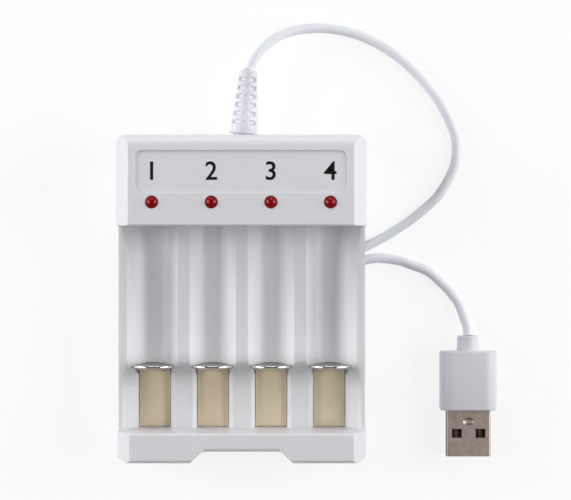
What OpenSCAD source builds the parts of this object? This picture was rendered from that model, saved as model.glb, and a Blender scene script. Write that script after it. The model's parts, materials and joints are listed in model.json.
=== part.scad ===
// Four-bay battery charger, lying flat on its header block and its end block.
// +Y points to the header and its lead, +Z up, +X to the right.
// The origin is under the middle of the case, on the surface that it stands on.

/* [Case] */
// Depth of the header along the case
header_d = 24.15; // [21:0.25:28]
// Thickness of the header's roof above the pockets
pocket_roof = 1.7; // [1.4:0.1:3]
// Depth of the end block at the bay floor
end_d = 9.1; // [8.4:0.1:11]
// Height of the end block's flat top above the bay floors
end_rise = 10.5; // [8:0.5:13]
// How far the end block's inner face leans back by its top
end_lean = 1.2; // [0.4:0.1:1.6]
// Thickness of the tray's side walls at their top
side_wall = 2.05; // [1.8:0.05:3]
// Height of the tray's side walls above the bay floors
side_rise = 5.8; // [5:0.1:7]
// How much wider the two blocks are than the tray, on each side
block_step = 0.25; // [0.1:0.05:1]
// Height of the tray's underside above the surface
foot_h = 3.3; // [2.6:0.1:4]
// Height of the space under the bay floors
under_h = 4.2; // [3.9:0.1:5]
// Thickness of the casing's walls
wall = 1.8; // [1.4:0.1:2.1]
// Thickness of the base cover
base_t = 1.6; // [1.2:0.1:1.9]
// Width of the bevel along each side of the flat tops
bevel_w = 3.4; // [2:0.1:4]
// Height of that bevel
bevel_h = 3.6; // [2:0.1:4]
// Radius of the header's back corners, seen from above
corner_r = 2.9; // [1:0.1:4]
// Radius of the header's back edge, seen from the side
back_r = 3.2; // [1:0.1:4]
// Radius of the small rounded edges
edge_r = 1; // [0.4:0.1:1.4]

/* [End block] */
// Width of the notch at its floor
notch_w = 21.2; // [16:0.2:24]
// How much wider the notch is on each side at its mouth
notch_flare = 3.2; // [1:0.1:4]
// Depth of the notch
notch_d = 3.1; // [1:0.1:3.2]
// Length along X of the outer corner cuts
cut_x = 2.4; // [1:0.1:3]
// Length along Y of the outer corner cuts
cut_y = 1.5; // [0.8:0.1:2]

/* [Bays] */
// Radius of the troughs
bay_r = 7.4; // [7.3:0.05:8.5]
// Gap between two troughs at the height of their middles
bay_gap = 0.9; // [0.6:0.1:2]
// Rise of the ridges between the troughs
ridge_rise = 3.4; // [2.8:0.1:4]
// Drop of the ridges beside the sliding contacts
ridge_drop = 1; // [0.4:0.1:1.4]
// How far the outer troughs turn outwards at both of their ends
flare = 1.15; // [0.4:0.05:1.2]
// Length of that turn at the header
flare_l = 9.5; // [6:0.5:12]
// Length of that turn beside the sliding contacts
step_l = 6.5; // [4:0.5:8]
// Thickness of the bay floors
floor_t = 1.4; // [1.2:0.1:1.6]
// Depth of the pockets under the header's front edge
pocket_d = 3.2; // [2.6:0.1:3.4]

/* [Header] */
// Width of the panel recess on the header
panel_w = 56; // [40:0.5:58]
// Length of the panel recess along the case
panel_d = 11.1; // [8:0.1:12]
// Depth of the panel recess
panel_t = 0.3; // [0.1:0.05:0.5]
// Corner radius of the panel recess
panel_r = 2; // [1:0.1:3]
// Distance from the panel's back edge to the header's back
panel_back = 4.4; // [4:0.1:6]
// Radius of a lamp
lamp_r = 1.6; // [1.4:0.05:1.65]
// How far a lamp stands out of the roof
lamp_out = 0.8; // [0.4:0.1:1.4]
// Distance from the lamps' row to the circuit board's front edge
lamp_in = 0.9; // [0.8:0.1:1.6]

/* [Contacts] */
// Distance from the header's front edge to a contact head's nose at rest
nose_gap = 36.3; // [34:0.1:38]
// Travel of a sliding contact
travel = 11.6; // [9:0.1:13]
// Distance from a pushed contact's legs to the end block's inner face
rear_gap = 2.75; // [2.3:0.05:4]
// Radius of a contact head
head_r = 5.7; // [5:0.1:6]
// Thickness of a contact head from nose to back
head_t = 2.4; // [2:0.1:2.8]
// Rise that a contact head's back would have without its opening
head_back = 1.8; // [1.3:0.1:2.2]
// Radius of the opening in a contact head's back
head_hole_r = 3.5; // [2.6:0.1:4.2]
// Thickness of the sheet of a contact head
head_sheet = 0.35; // [0.25:0.05:0.4]
// Thickness of a head's two legs
leg_t = 0.2; // [0.2:0.05:0.4]
// Length of a leg along the bay
leg_l = 2.2; // [1.6:0.1:2.8]
// Width of a brass strip, whose two edges the legs of its contact head hook around
rail_w = 8; // [7.4:0.1:8.6]
// Thickness of a brass strip
rail_t = 0.4; // [0.3:0.05:0.5]
// Distance from the corners of a positive contact plate to the trough's wall
plate_gap = 1; // [0.5:0.1:2]
// Thickness of a positive contact plate
plate_t = 0.4; // [0.3:0.05:0.5]

/* [Springs] */
// Mean radius of a return spring
spring_r = 1.4; // [1.2:0.05:1.45]
// Radius of the spring's wire
wire_r = 0.2; // [0.15:0.01:0.22]
// Turns of a return spring
spring_turns = 8; // [6:1:10]

/* [Lead] */
// Radius of the supply lead
lead_r = 1.3; // [1.1:0.05:1.4]
// Radius of the strain relief at the case
boot_r = 3.85; // [3.4:0.05:4.2]
// Radius of the strain relief at its tip
boot_tip_r = 2.45; // [2:0.05:2.8]
// Length of the strain relief outside the case
boot_l = 17.8; // [15:0.1:20]
// Rows of slots in the strain relief
boot_rows = 6; // [4:1:6]

/* [Plug] */
// Width of the plug's moulded body
grip_w = 15.6; // [14:0.1:17]
// Length of the plug's moulded body
grip_l = 16.1; // [14:0.1:20]
// Thickness of the plug's moulded body
grip_t = 8; // [7:0.1:9]
// Length of the neck behind the plug's body
neck_l = 4.2; // [3:0.1:6]
// Radius of the neck where it meets the body
neck_r = 3.05; // [2.4:0.05:3.2]
// Width of the plug's metal shell
shell_w = 12; // [11.8:0.05:12.1]
// Height of the plug's metal shell
shell_h = 4.5; // [4.4:0.05:4.6]
// Length of the shell outside the body
shell_l = 12.5; // [11:0.1:13]
// Thickness of the shell's sheet
shell_t = 0.3; // [0.25:0.05:0.35]

/* [Hidden] */

// Smoothness of round shapes
$fn = 48;
// How far a cut runs past the face that it opens
over = 1;
// Running gap between pieces that slide or that fit inside each other
gap = 0.1;

// Colours
WHITE = [0.93, 0.93, 0.94];
RED = [0.62, 0.02, 0.02];
CHROME = [0.72, 0.73, 0.75];
BRASS = [0.74, 0.62, 0.42];
STEEL = [0.62, 0.6, 0.58];
BLACK = [0.06, 0.06, 0.07];
BOARD = [0.1, 0.36, 0.18];
GREY = [0.55, 0.56, 0.58];

// Bays
BAYS = 4;
bay_pitch = 2 * bay_r + bay_gap;
outer_bay = (BAYS - 1) / 2 * bay_pitch;
tray_in = foot_h + base_t;
floor_under = tray_in + under_h;
bay_floor = floor_under + floor_t;
bay_axis = bay_floor + bay_r;
ridge_z = bay_floor + ridge_rise;
bay_l = nose_gap + head_t / 2 + leg_l + travel + rear_gap;
function bay_x(i) = (i - 1) * bay_pitch - outer_bay;

// Outer sizes of the case, which follow from the bays
tray_w = 2 * (outer_bay + bay_r + side_wall);
tray_h = bay_floor + side_rise;
case_w = tray_w + 2 * block_step;
case_l = header_d + bay_l + end_d;
header_h = bay_axis + bay_r + pocket_roof;
end_h = bay_floor + end_rise;

// Places along the case
back_y = case_l / 2;
front_y = back_y - header_d;
lobe_y = -case_l / 2;
end_y = lobe_y + end_d;
notch_y = lobe_y + notch_d;
pocket_y = front_y + pocket_d;

// Partition between the pockets and the header's inner space
partition_t = 1.5;
partition_y = pocket_y + plate_t;
header_in_y = partition_y + partition_t;

// Slots that core out the ridges from below: half of their width at the bottom and at the top
core_low = 2.4;
core_top = 1.1;

// Case screws
screw_head_r = 2;
screw_head_h = 1.2;
screw_r = 1.1;
screw_l = 9;
screw_pad_r = 2.6;
screw_pad_h = 3.4;
screw_sink = 0.3;
boss_r = 2.4;
back_screw_in = 6.75;
back_screw_back = 5.45;
end_screw_in = 4.65;
end_screw_y = lobe_y + wall + screw_pad_r + gap;
SCREWS = [
    [case_w / 2 - back_screw_in, back_y - back_screw_back],
    [back_screw_in - case_w / 2, back_y - back_screw_back],
    [case_w / 2 - end_screw_in, end_screw_y],
    [end_screw_in - case_w / 2, end_screw_y]
];

// Circuit board, between the partition and the bosses of the back screws
board_t = 1.6;
board_rise = 1.7;
board_z = bay_axis + board_rise;
board_top = board_z + board_t;
board_side_gap = 2;
board_back_gap = 0.4;
board_y = header_in_y + 2 * gap;
board_w = case_w - 2 * wall - 2 * board_side_gap;
board_d = back_y - back_screw_back - boss_r - board_back_gap - board_y;
lamp_y = board_y + lamp_in;

// Lamps: the two leads below the body
lead_pitch = 2.54;
lamp_lead_r = 0.25;
lamp_lead_out = 1;

// Charge control chip, in the middle of the board's top
chip_w = 5;
chip_d = 4;
chip_h = 1.5;
chip_stand = 0.15;
chip_back = 1;
chip_legs = 4;
chip_leg_w = 0.5;
chip_leg_l = 1;
chip_leg_pitch = 1.27;

// Input capacitor, under the board
can_r = 2.5;
can_h = 7;
can_x = -11;
can_in = 5.8;

// Resistors, two for each lamp
resistor_w = 2;
resistor_d = 1.2;
resistor_h = 0.6;
resistor_in = 4.8;

// Transistors, one under the board for each bay
transistor_w = 4;
transistor_d = 3;
transistor_x = 2;
transistor_back = 2.6;

// Positive contacts: the plate, the pressed button and the tail that is soldered to the board
plate_w = (bay_r - plate_gap) * sqrt(2);
button_r = 2.2;
button_t = 0.5;
tail_w = 1.6;
tail_l = 4.4;

// Board screws
board_screw_r = 0.9;
board_screw_l = 4;
board_head_r = 1.7;
board_head_h = 1.1;
board_boss_r = 2.2;
board_screw_back = 3.8;
board_screw_y = board_y + board_d - board_screw_back;

// Sliding contacts: the head's rim lies in one plane, with its nose before it
rim_y = front_y - nose_gap - head_t / 2;
head_drop = 0.3;
head_z = bay_axis - head_drop;
lip_share = 1.1;
leg_rise = 2;
channel_z = bay_floor - rail_t;
// The legs run down beside the strip, inwards under its edges and down through two slots there
leg_gap = 0.07;
slot_w = leg_t + 2 * leg_gap;
leg_x = rail_w / 2 + leg_gap;
hook_x = 3;
groove_z = channel_z - slot_w;
hook_z = groove_z + leg_gap;
groove_in = hook_x - 2 * leg_gap;
channel_w = 2 * (leg_x + leg_t + leg_gap);
channel_y = rim_y + gap;
leg_y = rim_y - leg_l;
slide_in = 1;
slide_y = rim_y + slide_in;
step_y = slide_y - 2 * slide_in;

// Carriage under the floor
carriage_t = 3.2;
carriage_l = 3.2;
carriage_z = floor_under - gap - carriage_t;
carriage_side = 0.5;
carriage_w = 2 * (leg_x + leg_t + carriage_side);
leg_low = carriage_z + 3 * gap;
carriage_y = rim_y + (carriage_l - leg_l) / 2 - carriage_l;
rib_t = 0.6;
rib_gap = 0.6;
rib_y = slide_y + slide_in;

// Return spring and the posts that hold it
spring_z = tray_in + under_h / 2;
post_t = 1.2;
post_w = 4.4;
post_y = notch_y + wall + gap;
seat_y = post_y + post_t;
peg_r = spring_r - wire_r - gap;
peg_l = 1.9;
spring_l = carriage_y - seat_y;
spring_sides = 6;
steps_per_turn = 10;

// Rail tab and busbar
tab_w = 2.4;
tab_in = 0.5;
bus_t = 0.3;
bus_d = 1.8;
bus_in = 1;
bus_side = 4.85;
bus_y = end_y + bus_in - bus_d;
bus_reach = outer_bay + bus_side;

// Strain relief
boot_x = 0.3;
boot_z = 13;
boot_lean = 4.6;
boot_stand = 0.7;
boot_neck_r = 2.7;
boot_flange = 9;
boot_flange_t = 1.2;
boot_slot = 0.95;
boot_slot_d = 0.65;
boot_collar = 2.55;
boot_end = 2.05;
boot_bridge = 0.8;
boot_bridge_turn = 15;
boot_side_turn = 26;
boot_tip = [boot_x, back_y, boot_z] + boot_l * [sin(boot_lean), cos(boot_lean), 0];

// Plug
plug_x = 61.5;
plug_y = -30.55;
plug_z = grip_t / 2;
grip_corner = 0.5;
grip_round_share = 0.45;
grip_round = grip_t * grip_round_share;
neck_tip_r = 2.95;
tongue_t = 1.9;
tongue_gap = 0.25;
tongue_in = 0.8;
pin_w = 1.1;
pin_t = 0.2;
pin_pitch_share = 0.2;
window_w = 2.65;
window_l = 2.45;
window_x = 3.2;
window_in = 6.2;
pins = 4;
dimple_l = 3;
dimple_w = 2.2;
dimple_in = 3;
dimple_t = 0.12;
root_l = 3;
tongue_w = shell_w - 2 * shell_t - 2 * tongue_gap;
tongue_z = plug_z - shell_h / 2 + shell_t;
neck_end = [plug_x, plug_y + grip_l + neck_l, plug_z];

// Points that the supply lead follows, between the strain relief and the plug
LEAD_ROUTE = [
    [4.1, 65.8, 11.9], [6.5, 68.5, 10.4], [9.7, 70.9, 8.4], [13.6, 72.6, 6.1], [18.1, 73.5, 4.1],
    [23.3, 73.6, 2.5], [29.5, 72.6, 1.5], [35.5, 70.3, 1.3], [41.2, 66.9, 1.3], [46.6, 62.3, 1.3],
    [51.5, 56.8, 1.3], [55.2, 51.3, 1.3], [58.5, 40.4, 1.3], [54.5, 29.4, 1.3], [49.2, 23.9, 1.3],
    [42.1, 18.7, 1.3], [35, 14.7, 1.3], [28.4, 12.2, 1.3], [14, 10.6, 1.3], [6.8, 9, 1.3],
    [0.8, 5, 1.3], [-2.4, -1.4, 1.3], [-1.4, -8.4, 1.3], [3.4, -13.6, 1.3], [10.4, -14.6, 1.3],
    [16.6, -11.2, 1.3], [20.4, -5, 1.3], [23.4, 1.6, 1.3], [27.6, 7, 1.3], [32.8, 10.2, 1.3],
    [42.3, 10.3, 1.3], [46.6, 8.9, 1.3], [50.6, 7.3, 1.3], [54.1, 4.4, 1.3], [57, 1.4, 1.35],
    [59.2, -1.8, 1.7], [60.6, -5.6, 2.6]
];
lead_sides = 8;
lead_before_neck = [-0.1, 1.6, -0.2];

// Inner wires: their ends, and the places between as shares of the way along each axis
wire_sides = 8;
inner_wire_r = 0.5;
wire_in = 1.2;
SUPPLY_START = [0.8, back_y - wall - boot_flange_t, boot_z];
SUPPLY_END = [2, board_y + board_d - wire_in, board_z];
SUPPLY_SHARES = [[0, 0.35, 0.02], [0.33, 0.69, 0.18], [0.83, 0.94, 0.48]];
lane_drop = 2.1;
lane_in = 2.6;
lane_back = 4.6;
lane_x = (outer_bay + carriage_w / 2 + gap + rib_t + tray_w / 2 - wall) / 2;
NEGATIVE_START = [bus_reach - inner_wire_r, bus_y + bus_d / 2, floor_under - bus_t - inner_wire_r];
LANE_START = [lane_x, bus_y + bus_d + lane_in, floor_under - lane_drop];
LANE_END = [lane_x, header_in_y - lane_back, floor_under - lane_drop];
NEGATIVE_END = [board_w / 2 - wire_in, board_y + board_d / 2, board_z];
DOWN_SHARES = [[0.72, 0, 0.23], [1, 0.22, 0.54]];
LANE_SHARES = [[0, 0.33, 0], [0, 0.67, 0]];
UP_SHARES = [[0.23, 0.48, 0.11], [0.71, 0.83, 0.37], [1, 0.96, 0.68]];

// Helpers

// Extrudes an outline drawn in X and Z from one place along Y to another
module along_y(from_y, to_y) {
    translate([0, to_y, 0]) rotate([90, 0, 0]) linear_extrude(to_y - from_y) children();
}

// Extrudes an outline drawn in Y and Z along X, centred
module along_x(width) {
    rotate([90, 0, 90]) linear_extrude(width, center = true) children();
}

// A round bar along Y
module bar_y(r, from_y, to_y, z) {
    translate([0, to_y, z]) rotate([90, 0, 0]) cylinder(r = r, h = to_y - from_y);
}

// A box given by its two corners
module box(low, high) {
    translate(low) cube(high - low);
}

// Points of an outline whose corners are rounded, each by its own radius
ARC_STEPS = 6;
function corner_arc(before, corner, after, r) =
    let (
        u = (before - corner) / norm(before - corner),
        v = (after - corner) / norm(after - corner),
        half = acos(u * v) / 2,
        middle = corner + (u + v) / norm(u + v) * r / sin(half),
        start = corner + u * r / tan(half) - middle,
        end = corner + v * r / tan(half) - middle
    )
    [for (i = [0 : ARC_STEPS])
        let (mix = start * (ARC_STEPS - i) + end * i)
        middle + r * mix / norm(mix)];
function round_outline(points, radii) =
    let (n = len(points))
    [for (i = [0 : n - 1]) each radii[i] == 0 ? [points[i]]
        : corner_arc(points[(i + n - 1) % n], points[i], points[(i + 1) % n], radii[i])];

// A round tube swept along points, with flat ends that face the two given ways
function unit(v) = v / norm(v);
function between(a, b, shares) =
    concat([a], [for (s = shares) [for (k = [0 : 2]) a[k] + s[k] * (b[k] - a[k])]], [b]);
function way(path, i, first, last) =
    i == 0 ? first : i == len(path) - 1 ? last : unit(path[i + 1] - path[i - 1]);
module tube(path, r, sides, up, first, last) {
    n = len(path);
    points = [for (i = [0 : n - 1])
        let (d = way(path, i, first, last), a = unit(cross(d, up)), b = cross(a, d))
        for (k = [0 : sides - 1])
            path[i] + r * (cos(360 * k / sides) * a + sin(360 * k / sides) * b)];
    walls = [for (i = [0 : n - 2], k = [0 : sides - 1])
        let (m = (k + 1) % sides, p = i * sides + k, q = i * sides + m)
        each [[p, q, p + sides], [q, q + sides, p + sides]]];
    start = [[for (k = [sides - 1 : -1 : 0]) k]];
    end = [[for (k = [0 : sides - 1]) (n - 1) * sides + k]];
    polyhedron(points, concat(walls, start, end));
}

// Casing

// Outline in X and Z of a block with bevelled top edges
function block_outline(w, h, r) = round_outline(
    [[-w / 2, 0], [w / 2, 0], [w / 2, h - bevel_h], [w / 2 - bevel_w, h],
     [bevel_w - w / 2, h], [-w / 2, h - bevel_h]],
    [r, r, r / 2, r / 2, r / 2, r / 2]);

module header_block() {
    intersection() {
        along_y(front_y, back_y) polygon(block_outline(case_w, header_h, edge_r));
        along_x(case_w + over) polygon(round_outline(
            [[front_y, 0], [back_y, 0], [back_y, header_h], [front_y, header_h]],
            [edge_r, edge_r, back_r, edge_r / 2]));
        linear_extrude(header_h) union() {
            translate([-case_w / 2, front_y]) square([case_w, header_d - corner_r]);
            translate([corner_r - case_w / 2, front_y]) square([case_w - 2 * corner_r, header_d]);
            for (s = [-1, 1])
                translate([s * (case_w / 2 - corner_r), back_y - corner_r]) circle(corner_r);
        }
    }
}

// Outline of the end block seen from above, with its notch and corner cuts
function end_plan() =
    let (mouth = notch_w / 2 + notch_flare, half = case_w / 2)
    round_outline(
        [[-half, end_y], [-half, lobe_y + cut_y], [cut_x - half, lobe_y], [-mouth, lobe_y],
         [-notch_w / 2, notch_y], [notch_w / 2, notch_y], [mouth, lobe_y],
         [half - cut_x, lobe_y], [half, lobe_y + cut_y], [half, end_y]],
        [0, edge_r, edge_r, edge_r, edge_r, edge_r, edge_r, edge_r, edge_r, 0]);

// Rounds off the top of an edge that runs along X and faces -Y
module edge_cut(y, z, r, width) {
    along_x(width) polygon(concat(
        [[y - over, z + over], [y - over, z - r]],
        [for (i = [0 : ARC_STEPS]) let (a = 180 - 90 * i / ARC_STEPS)
            [y + r + r * cos(a), z - r + r * sin(a)]],
        [[y + r, z + over]]));
}

module end_block() {
    top_y = end_y - end_lean;
    difference() {
        intersection() {
            along_y(lobe_y, end_y) polygon(block_outline(case_w, end_h, edge_r));
            along_x(case_w + over) polygon(round_outline(
                [[lobe_y, 0], [end_y, 0], [end_y, floor_under], [top_y, end_h], [lobe_y, end_h]],
                [edge_r, edge_r, 0, edge_r / 2, edge_r]));
            linear_extrude(end_h) polygon(end_plan());
        }
        edge_cut(notch_y, end_h, edge_r, notch_w - edge_r);
    }
}

module tray_block() {
    box([-tray_w / 2, end_y - over, foot_h], [tray_w / 2, front_y + over, tray_h]);
}

module case_envelope() {
    header_block();
    end_block();
    tray_block();
}

// The part of the envelope that belongs to the base cover
module base_zone() {
    wide = case_w + 2 * over;
    box([-wide / 2, lobe_y - over, -over], [wide / 2, back_y + over, base_t]);
    box([-wide / 2, end_y - base_t, -over], [wide / 2, front_y + base_t, tray_in]);
}

// Hollows inside the casing
module casing_hollows() {
    inner_w = case_w - 2 * wall;
    inner_z = base_t - over;
    // Header, behind the partition
    along_y(header_in_y, back_y - wall) polygon([
        [-inner_w / 2, inner_z], [inner_w / 2, inner_z],
        [inner_w / 2, header_h - wall - bevel_h], [inner_w / 2 - bevel_w, header_h - wall],
        [bevel_w - inner_w / 2, header_h - wall], [-inner_w / 2, header_h - wall - bevel_h]]);
    // Under the bay floors
    box([wall - tray_w / 2, notch_y + wall, inner_z], [tray_w / 2 - wall, header_in_y + over, floor_under]);
    // Inside the two lobes
    lobe_in = notch_w / 2 + notch_flare + wall;
    for (s = [-1, 1])
        box([s > 0 ? lobe_in : -inner_w / 2, lobe_y + wall, inner_z],
            [s > 0 ? inner_w / 2 : -lobe_in, end_y - end_lean - wall, end_h - wall - bevel_h]);
    // Under the ridges
    for (i = [1 : BAYS - 1])
        translate([bay_x(i) + bay_pitch / 2, 0, 0])
            along_y(step_y + floor_t, partition_y) polygon([
                [-core_low, floor_under - over], [core_low, floor_under - over],
                [core_top, ridge_z - floor_t], [-core_top, ridge_z - floor_t]]);
}

module casing_bosses() {
    roof = header_h - wall / 2;
    for (p = SCREWS)
        translate([p[0], p[1], screw_pad_h])
            cylinder(r = boss_r, h = (p[1] > 0 ? roof : end_h - wall) - screw_pad_h);
    for (s = [-1, 1])
        translate([s * bay_pitch, board_screw_y, board_top])
            cylinder(r = board_boss_r, h = roof - board_top);
    // Guide ribs beside the carriages
    for (i = [1 : BAYS], s = [-1, 1])
        translate([bay_x(i) + s * (carriage_w / 2 + gap + rib_t / 2), 0, 0])
            box([-rib_t / 2, bus_y + bus_d + gap, tray_in + rib_gap],
                [rib_t / 2, rib_y, floor_under + gap]);
}

// A length of an outer trough that runs from y = 0 to y = l and turns outwards by the flare
module turned_bar(s, l) {
    turn = atan(flare / l);
    intersection() {
        rotate([0, 0, -s * turn]) bar_y(bay_r * cos(turn), 0, l / cos(turn) + bay_r * tan(turn), bay_axis);
        box([-tray_w, -bay_r, 0], [tray_w, l, header_h]);
    }
}

// The open troughs, with the outer ones turned outwards at both ends
module trough_shapes() {
    far_y = end_y - end_lean - over;
    for (i = [1 : BAYS]) translate([bay_x(i), 0, 0]) {
        bar_y(bay_r, far_y, partition_y, bay_axis);
        box([-channel_w / 2, far_y, channel_z], [channel_w / 2, channel_y, bay_axis]);
        // Grooves under the edges of the strip, for the legs' hooks
        for (s = [-1, 1]) mirror([s > 0 ? 0 : 1, 0, 0])
            box([groove_in, leg_y - travel - gap, groove_z], [channel_w / 2, channel_y, bay_floor]);
    }
    // Space above the ridges
    box([-outer_bay, far_y, ridge_z], [outer_bay, front_y, tray_h + over]);
    // Ridges drop beside the sliding contacts
    along_x(2 * outer_bay) polygon([
        [slide_y, ridge_z + over], [slide_y, ridge_z], [step_y - over, ridge_z - ridge_drop],
        [far_y, ridge_z - ridge_drop], [far_y, ridge_z + over]]);
    for (s = [-1, 1]) intersection() {
        translate([s * outer_bay, 0, 0]) union() {
            translate([0, front_y - flare_l, 0]) turned_bar(s, flare_l);
            translate([0, slide_y, 0]) mirror([0, 1, 0]) turned_bar(s, step_l);
            translate([s * flare, 0, 0]) bar_y(bay_r, far_y, slide_y - step_l, bay_axis);
        }
        box([s > 0 ? outer_bay : -tray_w / 2, far_y, bay_floor],
            [s > 0 ? tray_w / 2 : -outer_bay, front_y, tray_h + over]);
    }
}

// The troughs end at the leaning face of the end block
module troughs() {
    intersection() {
        trough_shapes();
        along_x(case_w) polygon([
            [end_y, 0], [end_y, floor_under], [end_y - end_lean, end_h],
            [end_y - end_lean, header_h], [partition_y, header_h], [partition_y, 0]]);
    }
}

// Leg slots and tab slot of one bay
module slider_cuts() {
    for (s = [-1, 1])
        translate([s * (hook_x + leg_t / 2), 0, 0])
            box([-slot_w / 2, leg_y - travel - gap, floor_under - over], [slot_w / 2, channel_y, channel_z]);
    box([-tab_w / 2 - gap, end_y + tab_in - gap, floor_under - over],
        [tab_w / 2 + gap, end_y + tab_in + rail_t + gap, bay_floor]);
}

module panel_recess() {
    y0 = back_y - panel_back - panel_d;
    translate([0, 0, header_h - panel_t]) linear_extrude(panel_t + over) union() {
        translate([-panel_w / 2, y0 + panel_r]) square([panel_w, panel_d - 2 * panel_r]);
        translate([panel_r - panel_w / 2, y0]) square([panel_w - 2 * panel_r, panel_d]);
        for (s = [-1, 1], t = [panel_r, panel_d - panel_r])
            translate([s * (panel_w / 2 - panel_r), y0 + t]) circle(panel_r);
    }
}

// Slot in the partition for one positive contact's tail
module tail_slot() {
    box([-tail_w / 2 - gap, pocket_y, board_z - plate_t - gap],
        [tail_w / 2 + gap, header_in_y + over, board_z]);
}

module upper_casing() {
    color(WHITE) difference() {
        union() {
            difference() {
                case_envelope();
                base_zone();
                casing_hollows();
            }
            casing_bosses();
        }
        troughs();
        for (i = [1 : BAYS]) translate([bay_x(i), 0, 0]) {
            slider_cuts();
            tail_slot();
            translate([0, lamp_y, board_top]) cylinder(r = lamp_r + gap, h = header_h);
        }
        panel_recess();
        for (p = SCREWS)
            translate([p[0], p[1], screw_pad_h - over])
                cylinder(r = screw_r + gap / 2, h = screw_l + over);
        for (s = [-1, 1])
            translate([s * bay_pitch, board_screw_y, board_top - over])
                cylinder(r = board_screw_r + gap / 2, h = board_screw_l - board_t + over + gap);
        translate([boot_x, 0, 0]) bar_y(boot_neck_r + gap, back_y - wall - over, back_y + over, boot_z);
    }
}

// Base cover with its screw pads and spring posts
module base_cover() {
    color(WHITE) difference() {
        union() {
            intersection() {
                case_envelope();
                base_zone();
            }
            for (p = SCREWS) translate([p[0], p[1], base_t / 2])
                cylinder(r = screw_pad_r, h = screw_pad_h - base_t / 2);
            for (i = [1 : BAYS]) translate([bay_x(i), 0, 0]) {
                box([-post_w / 2, post_y, base_t / 2], [post_w / 2, seat_y, spring_z + spring_r]);
                bar_y(peg_r, seat_y - post_t / 2, seat_y + peg_l, spring_z);
            }
        }
        for (p = SCREWS) translate([p[0], p[1], 0]) {
            translate([0, 0, -over]) cylinder(r = screw_r + gap, h = screw_pad_h + 2 * over);
            translate([0, 0, -over])
                cylinder(r = screw_head_r + 2 * gap, h = over + screw_sink + screw_head_h);
        }
    }
}

module cross_recess(r, depth) {
    reach_share = 0.6;
    arm_w = r / 4;
    for (a = [0, 90]) rotate([0, 0, a])
        box([-r * reach_share, -arm_w / 2, -over], [r * reach_share, arm_w / 2, depth]);
}

module pan_screw(head_r, head_h, shank_r, shank_l) {
    difference() {
        union() {
            cylinder(r1 = head_r - head_h / 4, r2 = head_r, h = head_h / 3);
            translate([0, 0, head_h / 3]) cylinder(r = head_r, h = head_h - head_h / 3);
            translate([0, 0, head_h / 2]) cylinder(r = shank_r, h = shank_l + head_h / 2);
        }
        cross_recess(head_r, head_h / 2);
    }
}

module case_screws() {
    color(STEEL) for (p = SCREWS)
        translate([p[0], p[1], screw_sink])
            pan_screw(screw_head_r, screw_head_h, screw_r, screw_l);
}

module board_screws() {
    color(STEEL) for (s = [-1, 1])
        translate([s * bay_pitch, board_screw_y, board_z - board_head_h])
            pan_screw(board_head_r, board_head_h, board_screw_r, board_screw_l);
}

// Header's inner pieces

module indicator_lamp(i) {
    body_h = header_h + lamp_out - lamp_r - board_top;
    color(RED) translate([bay_x(i), lamp_y, board_top]) {
        cylinder(r = lamp_r, h = body_h);
        translate([0, 0, body_h]) sphere(lamp_r);
        for (s = [-1, 1]) translate([s * lead_pitch / 2, 0, -board_t - lamp_lead_out])
            cylinder(r = lamp_lead_r, h = board_t + lamp_lead_out + over);
    }
}

module circuit_board() {
    color(BOARD) difference() {
        box([-board_w / 2, board_y, board_z], [board_w / 2, board_y + board_d, board_top]);
        for (i = [1 : BAYS], s = [-1, 1])
            translate([bay_x(i) + s * lead_pitch / 2, lamp_y, board_z - over])
                cylinder(r = lamp_lead_r + gap, h = board_t + 2 * over);
        for (s = [-1, 1])
            translate([s * bay_pitch, board_screw_y, board_z - over])
                cylinder(r = board_screw_r + gap, h = board_t + 2 * over);
    }
}

module charge_chip() {
    color(BLACK) translate([0, board_y + board_d / 2 + chip_back, board_top]) {
        box([-chip_w / 2, -chip_d / 2, chip_stand], [chip_w / 2, chip_d / 2, chip_h]);
        for (k = [0 : chip_legs - 1], s = [-1, 1])
            translate([(k - (chip_legs - 1) / 2) * chip_leg_pitch, s * (chip_d + chip_leg_l) / 2, 0])
                box([-chip_leg_w / 2, -chip_leg_l / 2 - gap, 0],
                    [chip_leg_w / 2, chip_leg_l / 2 + gap, chip_h / 2]);
    }
}

module input_capacitor() {
    color(GREY) translate([can_x, board_y + can_in, board_z - can_h]) {
        cylinder(r = can_r, h = can_h);
        translate([0, 0, -gap]) cylinder(r = can_r - 3 * gap, h = can_h);
    }
}

module resistors() {
    color(BLACK) for (i = [1 : BAYS], s = [-1, 1])
        translate([bay_x(i) + s * resistor_w, board_y + resistor_in, board_top])
            box([-resistor_w / 2, -resistor_d / 2, 0], [resistor_w / 2, resistor_d / 2, resistor_h]);
}

module transistors() {
    color(BLACK) for (i = [1 : BAYS])
        translate([bay_x(i) + transistor_x, board_y + board_d - transistor_back, board_z - transistor_w])
            box([-transistor_w / 2, -transistor_d / 2, 0],
                [transistor_w / 2, transistor_d / 2, transistor_w]);
}

module supply_wires() {
    color(RED) for (s = [-1, 1]) mirror([s > 0 ? 0 : 1, 0, 0])
        tube(between(SUPPLY_START, SUPPLY_END, SUPPLY_SHARES),
            inner_wire_r, wire_sides, [1, 0, 0], [0, -1, 0], [0, 0, 1]);
}

module negative_busbar() {
    color(BRASS) box([-outer_bay - tab_w, bus_y, floor_under - bus_t], [bus_reach, bus_y + bus_d, floor_under]);
}

module negative_lead() {
    lane = between(LANE_START, LANE_END, LANE_SHARES);
    down = between(NEGATIVE_START, LANE_START, DOWN_SHARES);
    up = between(LANE_END, NEGATIVE_END, UP_SHARES);
    route = concat([for (k = [0 : len(down) - 2]) down[k]], lane, [for (k = [1 : len(up) - 1]) up[k]]);
    color(BLACK) tube(route, inner_wire_r, wire_sides, [0, 0.2, 1], [1, 0, 0], [0, 0, 1]);
}

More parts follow.
